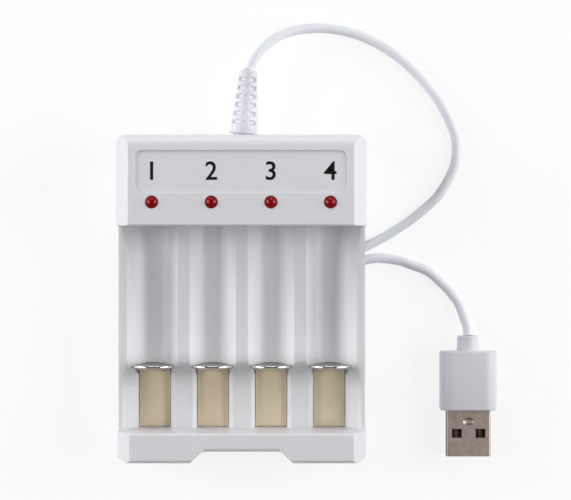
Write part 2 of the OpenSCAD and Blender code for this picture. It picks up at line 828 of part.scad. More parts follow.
module positive_contact(i) {
    sphere_r = (button_r * button_r + button_t * button_t) / (2 * button_t);
    color(STEEL) translate([bay_x(i), 0, 0]) {
        box([-plate_w / 2, pocket_y, bay_axis - plate_w / 2],
            [plate_w / 2, partition_y, bay_axis + plate_w / 2]);
        box([-tail_w / 2, pocket_y, board_z - plate_t], [tail_w / 2, pocket_y + tail_l, board_z]);
        intersection() {
            translate([0, pocket_y - button_t + sphere_r, bay_axis]) sphere(sphere_r);
            bar_y(button_r, pocket_y - over, pocket_y + plate_t / 2, bay_axis);
        }
    }
}

// Bay pieces

module contact_rail(i) {
    color(BRASS) translate([bay_x(i), 0, 0]) {
        box([-rail_w / 2, end_y + gap, channel_z], [rail_w / 2, channel_y, bay_floor]);
        box([-tab_w / 2, end_y + tab_in, floor_under], [tab_w / 2, end_y + tab_in + rail_t, bay_floor]);
    }
}

// Two shallow domes back to back, from which a head's shell is cut
module double_dome(r, front, back) {
    front_ball = (r * r + front * front) / (2 * front);
    back_ball = (r * r + back * back) / (2 * back);
    intersection() {
        translate([0, front - front_ball, 0]) sphere(front_ball);
        translate([0, back_ball - back, 0]) sphere(back_ball);
    }
}

module slider_contact(i) {
    lip_r = head_sheet * lip_share;
    color(CHROME) translate([bay_x(i), rim_y, 0]) {
        difference() {
            union() {
                translate([0, 0, head_z]) double_dome(head_r, head_t / 2, head_back);
                translate([0, 0, head_z]) rotate([90, 0, 0])
                    rotate_extrude() translate([head_r - lip_r, 0]) circle(lip_r);
            }
            translate([0, 0, head_z])
                double_dome(head_r - 2 * head_sheet, head_t / 2 - head_sheet, head_back - head_sheet);
            bar_y(head_hole_r, -head_t, 0, head_z);
        }
        // Stem below the head, and its two legs folded back and around the strip
        stem_w = 2 * (leg_x + leg_t);
        difference() {
            box([-stem_w / 2, -leg_t, bay_floor + gap], [stem_w / 2, 0, head_z - head_hole_r]);
            bar_y(head_r - 2 * head_sheet, -head_t, head_t, head_z);
        }
        for (s = [-1, 1]) mirror([s > 0 ? 0 : 1, 0, 0]) along_y(-leg_l, 0) polygon([
            [hook_x, leg_low], [hook_x + leg_t, leg_low], [hook_x + leg_t, hook_z], [leg_x + leg_t, hook_z],
            [leg_x + leg_t, bay_floor + leg_rise], [leg_x, bay_floor + leg_rise],
            [leg_x, hook_z + leg_t], [hook_x, hook_z + leg_t]]);
    }
}

module slider_carriage(i) {
    color(GREY) translate([bay_x(i), 0, 0]) {
        difference() {
            box([-carriage_w / 2, carriage_y, carriage_z],
                [carriage_w / 2, carriage_y + carriage_l, carriage_z + carriage_t]);
            for (s = [-1, 1])
                translate([s * (hook_x + leg_t / 2), 0, 0])
                    box([-leg_t / 2, leg_y, leg_low], [leg_t / 2, rim_y, floor_under]);
        }
        bar_y(peg_r, carriage_y - peg_l, carriage_y + over, spring_z);
    }
}

module return_spring(i) {
    steps = spring_turns * steps_per_turn;
    rise = (spring_l - 2 * wire_r) / steps;
    path = [for (k = [0 : steps]) let (a = 360 * k / steps_per_turn)
        [spring_r * cos(a), wire_r + k * rise, spring_r * sin(a)]];
    color(STEEL) translate([bay_x(i), seat_y, spring_z])
        tube(path, wire_r, spring_sides, [0, 1, 0], [0, 0, 1], [0, 0, 1]);
}

// Lead and plug

module strain_relief() {
    cone_l = boot_l - boot_stand;
    pitch = (cone_l - boot_collar - boot_slot - boot_end) / (boot_rows - 1);
    color(WHITE) translate([boot_x, back_y, boot_z]) {
        // Flange inside the wall and neck through it
        box([-boot_flange / 2, -wall - boot_flange_t, -boot_flange / 2],
            [boot_flange / 2, -wall, boot_flange / 2]);
        bar_y(boot_neck_r, -wall - boot_flange_t / 2, boot_stand + over, 0);
        rotate([0, 0, -boot_lean]) translate([0, boot_stand, 0]) difference() {
            rotate([-90, 0, 0]) cylinder(r1 = boot_r, r2 = boot_tip_r, h = cone_l);
            difference() {
                for (k = [0 : boot_rows - 1]) translate([0, boot_collar + k * pitch, 0])
                    bar_y(boot_r + over, 0, boot_slot, 0);
                // The core, the bridges between the slots of a row, and the plain sides
                rotate([-90, 0, 0])
                    cylinder(r1 = boot_r - boot_slot_d, r2 = boot_tip_r - boot_slot_d, h = cone_l);
                for (a = [-1, 1], flip = [0, 180]) rotate([0, a * boot_bridge_turn + flip, 0])
                    box([-boot_bridge / 2, 0, 0], [boot_bridge / 2, cone_l, 2 * boot_r]);
                for (s = [-1, 1]) along_y(0, cone_l) polygon([
                    [0, 0], [2 * s * boot_r, 2 * boot_r * tan(boot_side_turn)],
                    [2 * s * boot_r, -2 * boot_r * tan(boot_side_turn)]]);
            }
        }
    }
}

module supply_lead() {
    color(WHITE) tube(concat([boot_tip], LEAD_ROUTE, [neck_end + lead_before_neck, neck_end]),
        lead_r, lead_sides, [0, 0, 1], [sin(boot_lean), cos(boot_lean), 0], [0, -1, 0]);
}

module plug_body() {
    color(WHITE) translate([plug_x, plug_y, 0]) difference() {
        union() {
            intersection() {
                along_y(0, grip_l) polygon(round_outline(
                    [[-grip_w / 2, 0], [grip_w / 2, 0], [grip_w / 2, grip_t], [-grip_w / 2, grip_t]],
                    [grip_round, grip_round, grip_round, grip_round]));
                linear_extrude(grip_t) polygon(round_outline(
                    [[-grip_w / 2, 0], [grip_w / 2, 0], [grip_w / 2, grip_l], [-grip_w / 2, grip_l]],
                    [grip_corner, grip_corner, grip_corner, grip_corner]));
                along_x(grip_w + over) polygon(round_outline(
                    [[0, 0], [grip_l, 0], [grip_l, grip_t], [0, grip_t]],
                    [grip_corner, grip_corner, grip_corner, grip_corner]));
            }
            translate([0, grip_l - over, plug_z]) rotate([-90, 0, 0])
                cylinder(r1 = neck_r, r2 = neck_tip_r, h = neck_l + over);
        }
        box([-shell_w / 2, -over, plug_z - shell_h / 2], [shell_w / 2, root_l, plug_z + shell_h / 2]);
    }
}

module plug_shell() {
    inner_w = shell_w - 2 * shell_t;
    inner_h = shell_h - 2 * shell_t;
    corner = 2 * shell_t;
    full = [[-shell_w / 2, -shell_h / 2], [shell_w / 2, -shell_h / 2],
        [shell_w / 2, shell_h / 2], [-shell_w / 2, shell_h / 2]];
    hollow = [[-inner_w / 2, -inner_h / 2], [inner_w / 2, -inner_h / 2],
        [inner_w / 2, inner_h / 2], [-inner_w / 2, inner_h / 2]];
    color(STEEL) translate([plug_x, plug_y, plug_z]) difference() {
        along_y(-shell_l, root_l) polygon(round_outline(full, [corner, corner, corner, corner]));
        along_y(-shell_l - over, root_l + over)
            polygon(round_outline(hollow, [shell_t, shell_t, shell_t, shell_t]));
        for (s = [-1, 1])
            box([s * window_x - window_w / 2, -window_in - window_l / 2, -shell_h],
                [s * window_x + window_w / 2, -window_in + window_l / 2, shell_h]);
        // Pressed oval between the windows and the body
        translate([0, -dimple_in, shell_h / 2 - dimple_t]) linear_extrude(over) union() {
            translate([-dimple_l / 2 + dimple_w / 2, -dimple_w / 2])
                square([dimple_l - dimple_w, dimple_w]);
            for (s = [-1, 1]) translate([s * (dimple_l - dimple_w) / 2, 0]) circle(dimple_w / 2);
        }
    }
}

module plug_tongue() {
    color(BLACK) translate([plug_x, plug_y, tongue_z])
        box([-tongue_w / 2, tongue_in - shell_l, 0], [tongue_w / 2, root_l, tongue_t]);
}

module plug_pins() {
    step = tongue_w * pin_pitch_share;
    color(BRASS) for (k = [0 : pins - 1])
        translate([plug_x + (k - (pins - 1) / 2) * step, plug_y, tongue_z + tongue_t])
            box([-pin_w / 2, 2 * tongue_in - shell_l, 0], [pin_w / 2, -tongue_in, pin_t]);
}

upper_casing();
base_cover();
case_screws();
indicator_lamp(1);  // indicator_lamp_1
indicator_lamp(2);  // indicator_lamp_2
indicator_lamp(3);  // indicator_lamp_3
indicator_lamp(4);  // indicator_lamp_4
circuit_board();
board_screws();
charge_chip();
input_capacitor();
resistors();
transistors();
supply_wires();
negative_lead();
negative_busbar();
positive_contact(1);  // positive_contact_1
positive_contact(2);  // positive_contact_2
positive_contact(3);  // positive_contact_3
positive_contact(4);  // positive_contact_4
contact_rail(1);  // contact_rail_1
contact_rail(2);  // contact_rail_2
contact_rail(3);  // contact_rail_3
contact_rail(4);  // contact_rail_4
slider_contact(1);  // slider_contact_1
slider_contact(2);  // slider_contact_2
slider_contact(3);  // slider_contact_3
slider_contact(4);  // slider_contact_4
slider_carriage(1);  // slider_carriage_1
slider_carriage(2);  // slider_carriage_2
slider_carriage(3);  // slider_carriage_3
slider_carriage(4);  // slider_carriage_4
return_spring(1);  // return_spring_1
return_spring(2);  // return_spring_2
return_spring(3);  // return_spring_3
return_spring(4);  // return_spring_4
strain_relief();
supply_lead();
plug_body();
plug_shell();
plug_tongue();
plug_pins();
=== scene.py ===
# %% [markdown]
# # A flat charger for small cells
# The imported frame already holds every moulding, contact and spring at its real size and place.
# This script dresses it: it gives each surface its finish, and it models again what a plain
# solid can't show, such as the cord, the ribbed strain relief, the pressed contact heads and
# the coiled springs. Everything is in metres, in the frame's own axes: +X right, +Y towards
# the cord, +Z up, with the table at Z = 0.

import json
import math

import bmesh
import bpy
from mathutils import Matrix, Vector


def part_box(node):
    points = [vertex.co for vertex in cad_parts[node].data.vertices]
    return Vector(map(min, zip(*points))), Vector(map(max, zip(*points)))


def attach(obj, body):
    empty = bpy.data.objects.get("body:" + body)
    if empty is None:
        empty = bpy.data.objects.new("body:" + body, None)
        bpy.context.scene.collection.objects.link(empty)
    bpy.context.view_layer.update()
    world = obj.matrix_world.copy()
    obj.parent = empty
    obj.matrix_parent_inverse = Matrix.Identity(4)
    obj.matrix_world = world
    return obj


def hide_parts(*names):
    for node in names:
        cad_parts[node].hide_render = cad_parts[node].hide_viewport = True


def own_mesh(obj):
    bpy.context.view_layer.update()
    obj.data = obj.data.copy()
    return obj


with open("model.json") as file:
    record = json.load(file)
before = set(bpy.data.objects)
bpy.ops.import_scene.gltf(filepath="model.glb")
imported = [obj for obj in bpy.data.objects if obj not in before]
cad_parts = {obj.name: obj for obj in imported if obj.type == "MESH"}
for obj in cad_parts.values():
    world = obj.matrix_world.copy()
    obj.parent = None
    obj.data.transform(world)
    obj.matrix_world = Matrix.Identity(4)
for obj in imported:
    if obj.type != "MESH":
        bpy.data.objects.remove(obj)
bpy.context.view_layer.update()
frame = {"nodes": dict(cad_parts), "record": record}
nodes = frame["nodes"]
MM = 0.001

# %% [markdown]
# ## Camera
# The photograph was taken from straight above, from well over half a metre away. A camera
# without any turn looks down -Z in Blender, so only its place and its lens matter. The lens
# follows from similar triangles: sensor width over focal length is view width over distance.

# %% Place the camera
SENSOR_WIDTH = 36.0
CAMERA_PLACE = Vector((11.7, 13.1, 650)) * MM
TABLE_VIEW_WIDTH = 156.05 * MM
LEAD_LEVEL = 3 * MM

camera_data = bpy.data.cameras.new("overhead_camera")
camera_data.sensor_width = SENSOR_WIDTH
camera_data.lens = SENSOR_WIDTH * (CAMERA_PLACE.z - LEAD_LEVEL) / TABLE_VIEW_WIDTH
camera_data.clip_start = 0.01
camera = bpy.data.objects.new("overhead_camera", camera_data)
camera.location = CAMERA_PLACE
bpy.context.scene.collection.objects.link(camera)
bpy.context.scene.camera = camera
bpy.context.scene.view_settings.view_transform = "Standard"
print("lens:", round(camera_data.lens, 1), "mm")

# %% [markdown]
# ## The cord
# A real cord is a fixed length of something flexible, so its route comes first and its look
# later. One smooth Bezier spline through listed points, given a round section by the
# curve's own bevel, keeps the centreline that the length is measured along. The route leaves
# the strain relief's tip, drops to the table, runs around and under the raised tray in one
# loop, and rises a little into the plug's neck.

# %% Route of the cord
BACK_Y = 43.65
BOOT_X = 0.3
BOOT_Z = 13
BOOT_LENGTH = 17.8
BOOT_LEAN = math.radians(4.6)
PLUG_X = 61.5
PLUG_Y = -30.55
GRIP_LENGTH = 16.1
GRIP_THICKNESS = 8
NECK_LENGTH = 4.2
CORD_RADIUS = 1.3

NECK_APPROACH = Vector((-0.1, 1.6, -0.2))
CORD_STEPS = 8
CORD_SECTION_STEPS = 5

boot_tip = Vector((BOOT_X + BOOT_LENGTH * math.sin(BOOT_LEAN),
                   BACK_Y + BOOT_LENGTH * math.cos(BOOT_LEAN), BOOT_Z))
neck_end = Vector((PLUG_X, PLUG_Y + GRIP_LENGTH + NECK_LENGTH, GRIP_THICKNESS / 2))
CORD_ROUTE = [
    (4.1, 65.8, 11.9), (6.5, 68.5, 10.4), (9.7, 70.9, 8.4), (13.6, 72.6, 6.1), (18.1, 73.5, 4.1),
    (23.3, 73.6, 2.5), (29.5, 72.6, 1.5), (35.5, 70.3, 1.3), (41.2, 66.9, 1.3), (46.6, 62.3, 1.3),
    (51.5, 56.8, 1.3), (55.2, 51.3, 1.3), (58.5, 40.4, 1.3), (54.5, 29.4, 1.3), (49.2, 23.9, 1.3),
    (42.1, 18.7, 1.3), (35, 14.7, 1.3), (28.4, 12.2, 1.3), (14, 10.6, 1.3), (6.8, 9, 1.3),
    (0.8, 5, 1.3), (-2.4, -1.4, 1.3), (-1.4, -8.4, 1.3), (3.4, -13.6, 1.3), (10.4, -14.6, 1.3),
    (16.6, -11.2, 1.3), (20.4, -5, 1.3), (23.4, 1.6, 1.3), (27.6, 7, 1.3), (32.8, 10.2, 1.3),
    (42.3, 10.3, 1.3), (46.6, 8.9, 1.3), (50.6, 7.3, 1.3), (54.1, 4.4, 1.3), (57, 1.4, 1.35),
    (59.2, -1.8, 1.7), (60.6, -5.6, 2.6),
]
route = [boot_tip, *CORD_ROUTE, neck_end + NECK_APPROACH, neck_end]

cord_curve = bpy.data.curves.new("cord", "CURVE")
cord_curve.dimensions = "3D"
cord_curve.resolution_u = CORD_STEPS
cord_curve.bevel_depth = CORD_RADIUS * MM
cord_curve.bevel_resolution = CORD_SECTION_STEPS
cord_curve.use_fill_caps = True
spline = cord_curve.splines.new("BEZIER")
spline.bezier_points.add(len(route) - 1)
for bezier_point, place in zip(spline.bezier_points, route):
    bezier_point.co = Vector(place) * MM
    bezier_point.handle_left_type = "AUTO"
    bezier_point.handle_right_type = "AUTO"
cord = bpy.data.objects.new("supply_cord", cord_curve)
bpy.context.scene.collection.objects.link(cord)

# %% [markdown]
# ## Building node trees by hand
# Materials and Geometry Nodes are both node trees, so one small helper serves both: it adds a
# node, changes its settings, and fills its inputs with either a plain value or a link. The
# second helper is for arithmetic, where a tree has many small steps.

# %% Helpers for nodes
def add(tree, kind, inputs=None, **settings):
    """Adds a node. An input that is given another node's output is linked to it."""
    made = tree.nodes.new(kind)
    for name, value in settings.items():
        setattr(made, name, value)
    for name, value in (inputs or {}).items():
        if isinstance(value, bpy.types.NodeSocket):
            tree.links.new(value, made.inputs[name])
        else:
            made.inputs[name].default_value = value
    return made


def calc(tree, operation, *values):
    """One step of arithmetic in a tree. It gives the socket with the result."""
    return add(tree, "ShaderNodeMath", dict(enumerate(values)), operation=operation).outputs[0]


# %% [markdown]
# ## A family of finishes
# Every finish here starts the same way, with noise in Object coordinates, in metres, so that
# the grain has its real size and stays on the piece from any side. A slow noise shifts the
# colour a little, as moulded and plated surfaces do. A fine noise drives the roughness and a
# shallow bump. The Bevel node softens the light on sharp edges by a fraction of a millimetre,
# because no tool cuts a perfect corner: on the big mouldings that is safer than rounding
# hundreds of edges in the mesh. One function makes all finishes, and each states what is its own.

# %% Finish maker
SLOW_DETAIL = 2.0
FINE_DETAIL = 3.0
TINT_STOPS = (0.3, 0.7)
SMOOTHEST = 0.02
PAINTED_SHADE_BELOW = 0.6
EDGE_SAMPLES = 8


def finish(name, colour, roughness, grain=0.3, depth=0.002, patch=14, tint=0.03, spread=0.05, edge=0,
           side=1.0, **constant):
    """A Principled finish. grain and depth are the size and height of its texture in mm, patch
    and tint the size and share of its slow changes of colour, and edge the radius of its
    softened edges. side is the share of its colour kept on faces that stand upright, a painted
    shade on those faces. constant sets inputs of the shader itself, such as Metallic."""
    made = bpy.data.materials.new(name)
    made.use_nodes = True
    made.diffuse_color = (*colour, 1)
    tree = made.node_tree
    shader = tree.nodes["Principled BSDF"]
    place = add(tree, "ShaderNodeTexCoord").outputs["Object"]
    slow = add(tree, "ShaderNodeTexNoise", {
        "Vector": place, "Scale": 1 / (patch * MM), "Detail": SLOW_DETAIL})
    fine = add(tree, "ShaderNodeTexNoise", {
        "Vector": place, "Scale": 1 / (grain * MM), "Detail": FINE_DETAIL})
    shades = add(tree, "ShaderNodeValToRGB", {"Fac": slow.outputs["Fac"]})
    for element, position, share in zip(shades.color_ramp.elements, TINT_STOPS, (1 - tint, 1 + tint)):
        element.position = position
        element.color = (*[min(1.0, channel * share) for channel in colour], 1)
    shade_out = shades.outputs["Color"]
    # Painted shade: faces that stand upright keep only the share side of their colour, so they are darker
    # than faces that look up.
    if side < 1:
        shade_facing = add(tree, "ShaderNodeSeparateXYZ", {0: add(tree, "ShaderNodeTexCoord").outputs["Normal"]})
        share = add(tree, "ShaderNodeMapRange", {
            "Value": calc(tree, "ABSOLUTE", shade_facing.outputs["Z"]), "From Min": PAINTED_SHADE_BELOW, "To Min": side})
        shade_out = add(tree, "ShaderNodeVectorMath", {0: shade_out, "Scale": share.outputs[0]},
                        operation="SCALE").outputs[0]
    tree.links.new(shade_out, shader.inputs["Base Color"])
    rough = add(tree, "ShaderNodeMapRange", {
        "Value": fine.outputs["Fac"], "To Min": max(SMOOTHEST, roughness - spread),
        "To Max": roughness + spread})
    tree.links.new(rough.outputs["Result"], shader.inputs["Roughness"])
    if depth:
        bump = add(tree, "ShaderNodeBump", {"Height": fine.outputs["Fac"], "Distance": depth * MM})
        tree.links.new(bump.outputs["Normal"], shader.inputs["Normal"])
        if edge:
            soft_edge = add(tree, "ShaderNodeBevel", {"Radius": edge * MM}, samples=EDGE_SAMPLES)
            tree.links.new(soft_edge.outputs["Normal"], bump.inputs["Normal"])
    for label, value in constant.items():
        shader.inputs[label.replace("_", " ")].default_value = value
    return made


# %% [markdown]
# ## The finishes of this charger
# The casing is a white, half-glossy plastic. The cord and its mouldings are softer and duller.
# The contacts are plated steel, the strips behind them brass with a pale wash, and the plug's
# shell is bare sheet that has gone a little brown, with painted shade on its upright sides and
# edges. Colours are linear, and close to what the real pieces have in even light. Two pieces,
# the strain relief and the plug's insulator, look a little different from the others of their
# kind, so they have a finish of their own.

# %% Finishes
FINISHES = {
    "casing_white": finish("casing_white", (0.80, 0.80, 0.83), 0.34, grain=0.25, depth=0.0015,
                           tint=0.01, edge=0.4),
    "lead_white": finish("lead_white", (0.80, 0.82, 0.87), 0.5, grain=0.12, tint=0.015),
    "grip_white": finish("grip_white", (0.70, 0.70, 0.75), 0.42, grain=0.2, tint=0.015),
    "lamp_red": finish("lamp_red", (0.27, 0.0, 0.001), 0.16, depth=0, Specular_IOR_Level=0.3),
    "contact_chrome": finish("contact_chrome", (0.88, 0.86, 0.84), 0.17, depth=0, spread=0.03, Metallic=1.0,
                             Specular_Tint=(0.3, 0.28, 0.26, 1)),
    "contact_steel": finish("contact_steel", (0.66, 0.65, 0.62), 0.25, Metallic=1.0),
    "rail_brass": finish("rail_brass", (0.93, 0.81, 0.6), 0.6, grain=0.1, depth=0.001, tint=0.05,
                         Metallic=0.6),
    # The shell's upright sides and edges are painted darker through side: painted shade.
    "shell_steel": finish("shell_steel", (0.78, 0.64, 0.57), 0.45, grain=0.5, patch=1.5, tint=0.1,
                          side=0.15, Metallic=0.9),
    "screw_steel": finish("screw_steel", (0.5, 0.5, 0.51), 0.35, Metallic=1.0),
    "spring_steel": finish("spring_steel", (0.55, 0.55, 0.57), 0.28, Metallic=1.0),
    "can_metal": finish("can_metal", (0.6, 0.61, 0.63), 0.3, Metallic=1.0),
    "pin_gold": finish("pin_gold", (0.75, 0.52, 0.36), 0.4, Metallic=0.8),
    "board_green": finish("board_green", (0.03, 0.2, 0.07), 0.3, tint=0.1),
    "black_plastic": finish("black_plastic", (0.02, 0.02, 0.022), 0.5, tint=0.1),
    "carriage_grey": finish("carriage_grey", (0.4, 0.41, 0.43), 0.5),
    "wire_red": finish("wire_red", (0.4, 0.02, 0.02), 0.45),
    "wire_black": finish("wire_black", (0.02, 0.02, 0.02), 0.45),
    "boot_white": finish("boot_white", (0.74, 0.755, 0.8), 0.5, grain=0.12, tint=0.015),
    "tongue_brown": finish("tongue_brown", (0.11, 0.06, 0.045), 0.5),
    "ink_black": finish("ink_black", (0.006, 0.006, 0.007), 0.35, grain=0.15, tint=0.1),
}
SLOTS = {part["node"]: part["material_slot"] for part in frame["record"]["subparts"]}
for node_name, part in nodes.items():
    part.data.materials.clear()
    part.data.materials.append(FINISHES[SLOTS[node_name]])
print("finishes:", len(FINISHES))

# %% [markdown]
# The cord gets its finish and its body here.

# %% Finish of the cord
cord_curve.materials.append(FINISHES["lead_white"])
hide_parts("supply_lead")
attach(cord, "case")

# %% [markdown]
# ## From mesh to piece
# Each piece is drawn in millimetres, as on a workshop drawing, and only its finished mesh is
# scaled to metres, so its object stays at the origin without any scale. Smooth shading with
# sharp edges by angle lets a curved face look round while a fold stays crisp.

# %% Helpers for pieces
SHARP_ANGLE = math.radians(35)


def shade(mesh):
    """Curved faces smooth, folds sharp."""
    mesh.shade_smooth()
    mesh.set_sharp_from_angle(angle=SHARP_ANGLE)


def loose(name, mesh):
    """Puts a mesh into the scene as an object of its own."""
    made = bpy.data.objects.new(name, mesh)
    bpy.context.scene.collection.objects.link(made)
    return made


def flatten(holder):
    """Turns an object and its modifiers into one plain mesh, and removes the object."""
    plain = bpy.data.meshes.new_from_object(holder.evaluated_get(bpy.context.evaluated_depsgraph_get()))
    bpy.data.objects.remove(holder)
    return plain


def piece(name, mesh, slot, body, *replaced, look=None):
    """Gives a mesh in millimetres its finish, its body and the nodes that it stands for. look is
    its finish where that isn't the one of its slot."""
    mesh.name = name
    mesh.transform(Matrix.Scale(MM, 4))
    mesh.materials.clear()
    mesh.materials.append(FINISHES[look or slot])
    made = loose(name, mesh)
    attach(made, body)
    if replaced:
        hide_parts(*replaced)
    print(name + ":", len(mesh.polygons), "faces")
    return made


def skin(rings, name="skin"):
    """A closed mesh through rings of equally many points. A ring without any size is a pole."""
    shape = bmesh.new()
    rows = [[shape.verts.new(point) for point in ring] for ring in rings]
    for near, far in zip(rows, rows[1:]):
        for k in range(len(near)):
            shape.faces.new((near[k - 1], near[k], far[k], far[k - 1]))
    for row in (rows[0], rows[-1]):
        if (row[0].co - row[len(row) // 2].co).length > MM:
            shape.faces.new(row)
    bmesh.ops.remove_doubles(shape, verts=shape.verts, dist=MM)
    bmesh.ops.recalc_face_normals(shape, faces=shape.faces)
    made = bpy.data.meshes.new(name)
    shape.to_mesh(made)
    shape.free()
    return made


def revolve(profile, sides=48):
    """Rings around Z through a profile of pairs of radius and height."""
    turns = [2 * math.pi * k / sides for k in range(sides)]
    return [[Vector((r * math.cos(a), r * math.sin(a), h)) for a in turns] for r, h in profile]


def arc(middle, radius, start, end, steps=8):
    """Points of an arc between two angles in degrees, as pairs."""
    angles = [math.radians(start + (end - start) * k / steps) for k in range(steps + 1)]
    return [(middle[0] + radius * math.cos(a), middle[1] + radius * math.sin(a)) for a in angles]


def joined(*meshes):
    """Several meshes as one."""
    shape = bmesh.new()
    for mesh in meshes:
        shape.from_mesh(mesh)
    made = bpy.data.meshes.new("joined")
    shape.to_mesh(made)
    shape.free()
    return made


# %% [markdown]
# ## Softened edges
# A moulding tool never leaves a knife edge, and in soft light it is the thin bright line along
# each edge that makes plastic look like plastic. The CAD mesh is loose triangles, so a copy is
# merged and its flat faces are joined again. Then the Bevel modifier rounds what is still
# sharp. Hardened normals keep the large faces flat beside the narrow rounded ones.

# %% Helper for softened copies
FLAT_ANGLE = math.radians(0.6)


def softened(node, width, segments=2):
    """A copy of a CAD node in millimetres, with its sharp edges rounded."""
    shape = bmesh.new()
    shape.from_mesh(nodes[node].data)
    bmesh.ops.scale(shape, vec=(1 / MM,) * 3, verts=shape.verts)
    bmesh.ops.remove_doubles(shape, verts=shape.verts, dist=MM)
    bmesh.ops.dissolve_limit(shape, angle_limit=FLAT_ANGLE, verts=shape.verts, edges=shape.edges)
    mesh = bpy.data.meshes.new(node + "_copy")
    shape.to_mesh(mesh)
    shape.free()
    mesh.shade_smooth()
    holder = loose(node + "_copy", mesh)
    bevel = holder.modifiers.new("rounded edges", "BEVEL")
    bevel.width = width
    bevel.segments = segments
    bevel.limit_method = "ANGLE"
    bevel.angle_limit = SHARP_ANGLE
    bevel.use_clamp_overlap = False
    bevel.harden_normals = True
    return flatten(holder)


# %% [markdown]
# ## The casing
# Header, tray and end block are one white moulding, screwed to a base cover. Their shape comes
# from the CAD model as it is, with its troughs, ridges and rounded blocks: drawing it twice
# would only add a second place for mistakes. The finish gives it its grain and soft edges.

# %% Casing and base cover
for moulding in ("upper_casing", "base_cover"):
    low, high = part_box(moulding)
    print(moulding + ":", [round((b - a) / MM, 1) for a, b in zip(low, high)], "mm")

# %% [markdown]
# ## Geometry Nodes by script
# A tree is a small machine: it takes named sizes and gives a mesh. The first helper opens a
# tree with its named inputs, the second closes it with Realize Instances and Set Material. The
# third runs it once on an empty mesh and keeps the result as a plain mesh. An input of the
# modifier is set by its identifier, since names needn't be unique.

# %% Helpers for trees
KINDS = {int: "NodeSocketInt", float: "NodeSocketFloat", Vector: "NodeSocketVector",
         bpy.types.Object: "NodeSocketObject", bpy.types.Material: "NodeSocketMaterial"}


def start_tree(name, **kinds):
    """A tree with one named input of each given kind, and one for its finish."""
    tree = bpy.data.node_groups.new(name, "GeometryNodeTree")
    tree.interface.new_socket("Geometry", in_out="INPUT", socket_type="NodeSocketGeometry")
    for label, kind in {**kinds, "Finish": bpy.types.Material}.items():
        tree.interface.new_socket(label.replace("_", " "), in_out="INPUT", socket_type=KINDS[kind])
    tree.interface.new_socket("Geometry", in_out="OUTPUT", socket_type="NodeSocketGeometry")
    return tree, tree.nodes.new("NodeGroupInput").outputs


def end_tree(tree, sizes, geometry):
    """Realizes the instances and gives them the finish."""
    whole = add(tree, "GeometryNodeRealizeInstances", {"Geometry": geometry})
    painted = add(tree, "GeometryNodeSetMaterial", {
        "Geometry": whole.outputs[0], "Material": sizes["Finish"]})
    tree.links.new(painted.outputs[0], tree.nodes.new("NodeGroupOutput").inputs[0])


def grow(tree, slot, **sizes):
    """Runs a tree with the given sizes, and gives its result as a plain mesh in millimetres."""
    holder = loose(tree.name, bpy.data.meshes.new(tree.name))
    modifier = holder.modifiers.new("tree", "NODES")
    modifier.node_group = tree
    sizes["Finish"] = FINISHES[slot]
    for socket in tree.interface.items_tree:
        label = socket.name.replace(" ", "_")
        if socket.in_out == "INPUT" and label in sizes:
            modifier[socket.identifier] = sizes[label]
    return flatten(holder)


# %% [markdown]
# ## Strain relief
# The sleeve around the cord's exit is a soft cone with six rows of shallow slots. In each row
# its two sides stay plain, and two thin bridges stay above and two below, so the cone bends but
# doesn't stretch. Cutting 36 slots one by one would be slow to change. Here the whole cone is
# one grid, wrapped around the axis, and its radius follows a rule of where a point lies: the
# cone's radius, less the slot's depth wherever the point is in a row, off the bridges and sides.
# The slots between two bridges are shallower than the outer ones.

# %% Tree of the strain relief
CONE_POINTS = (241, 121)
END_SHARE = 0.03
SEAM_REACH = 0.002


def smooth_step(tree, value, low, high):
    """Rises smoothly from 0 at low to 1 at high."""
    return add(tree, "ShaderNodeMapRange", {"Value": value, "From Min": low, "From Max": high},
               interpolation_type="SMOOTHSTEP").outputs["Result"]


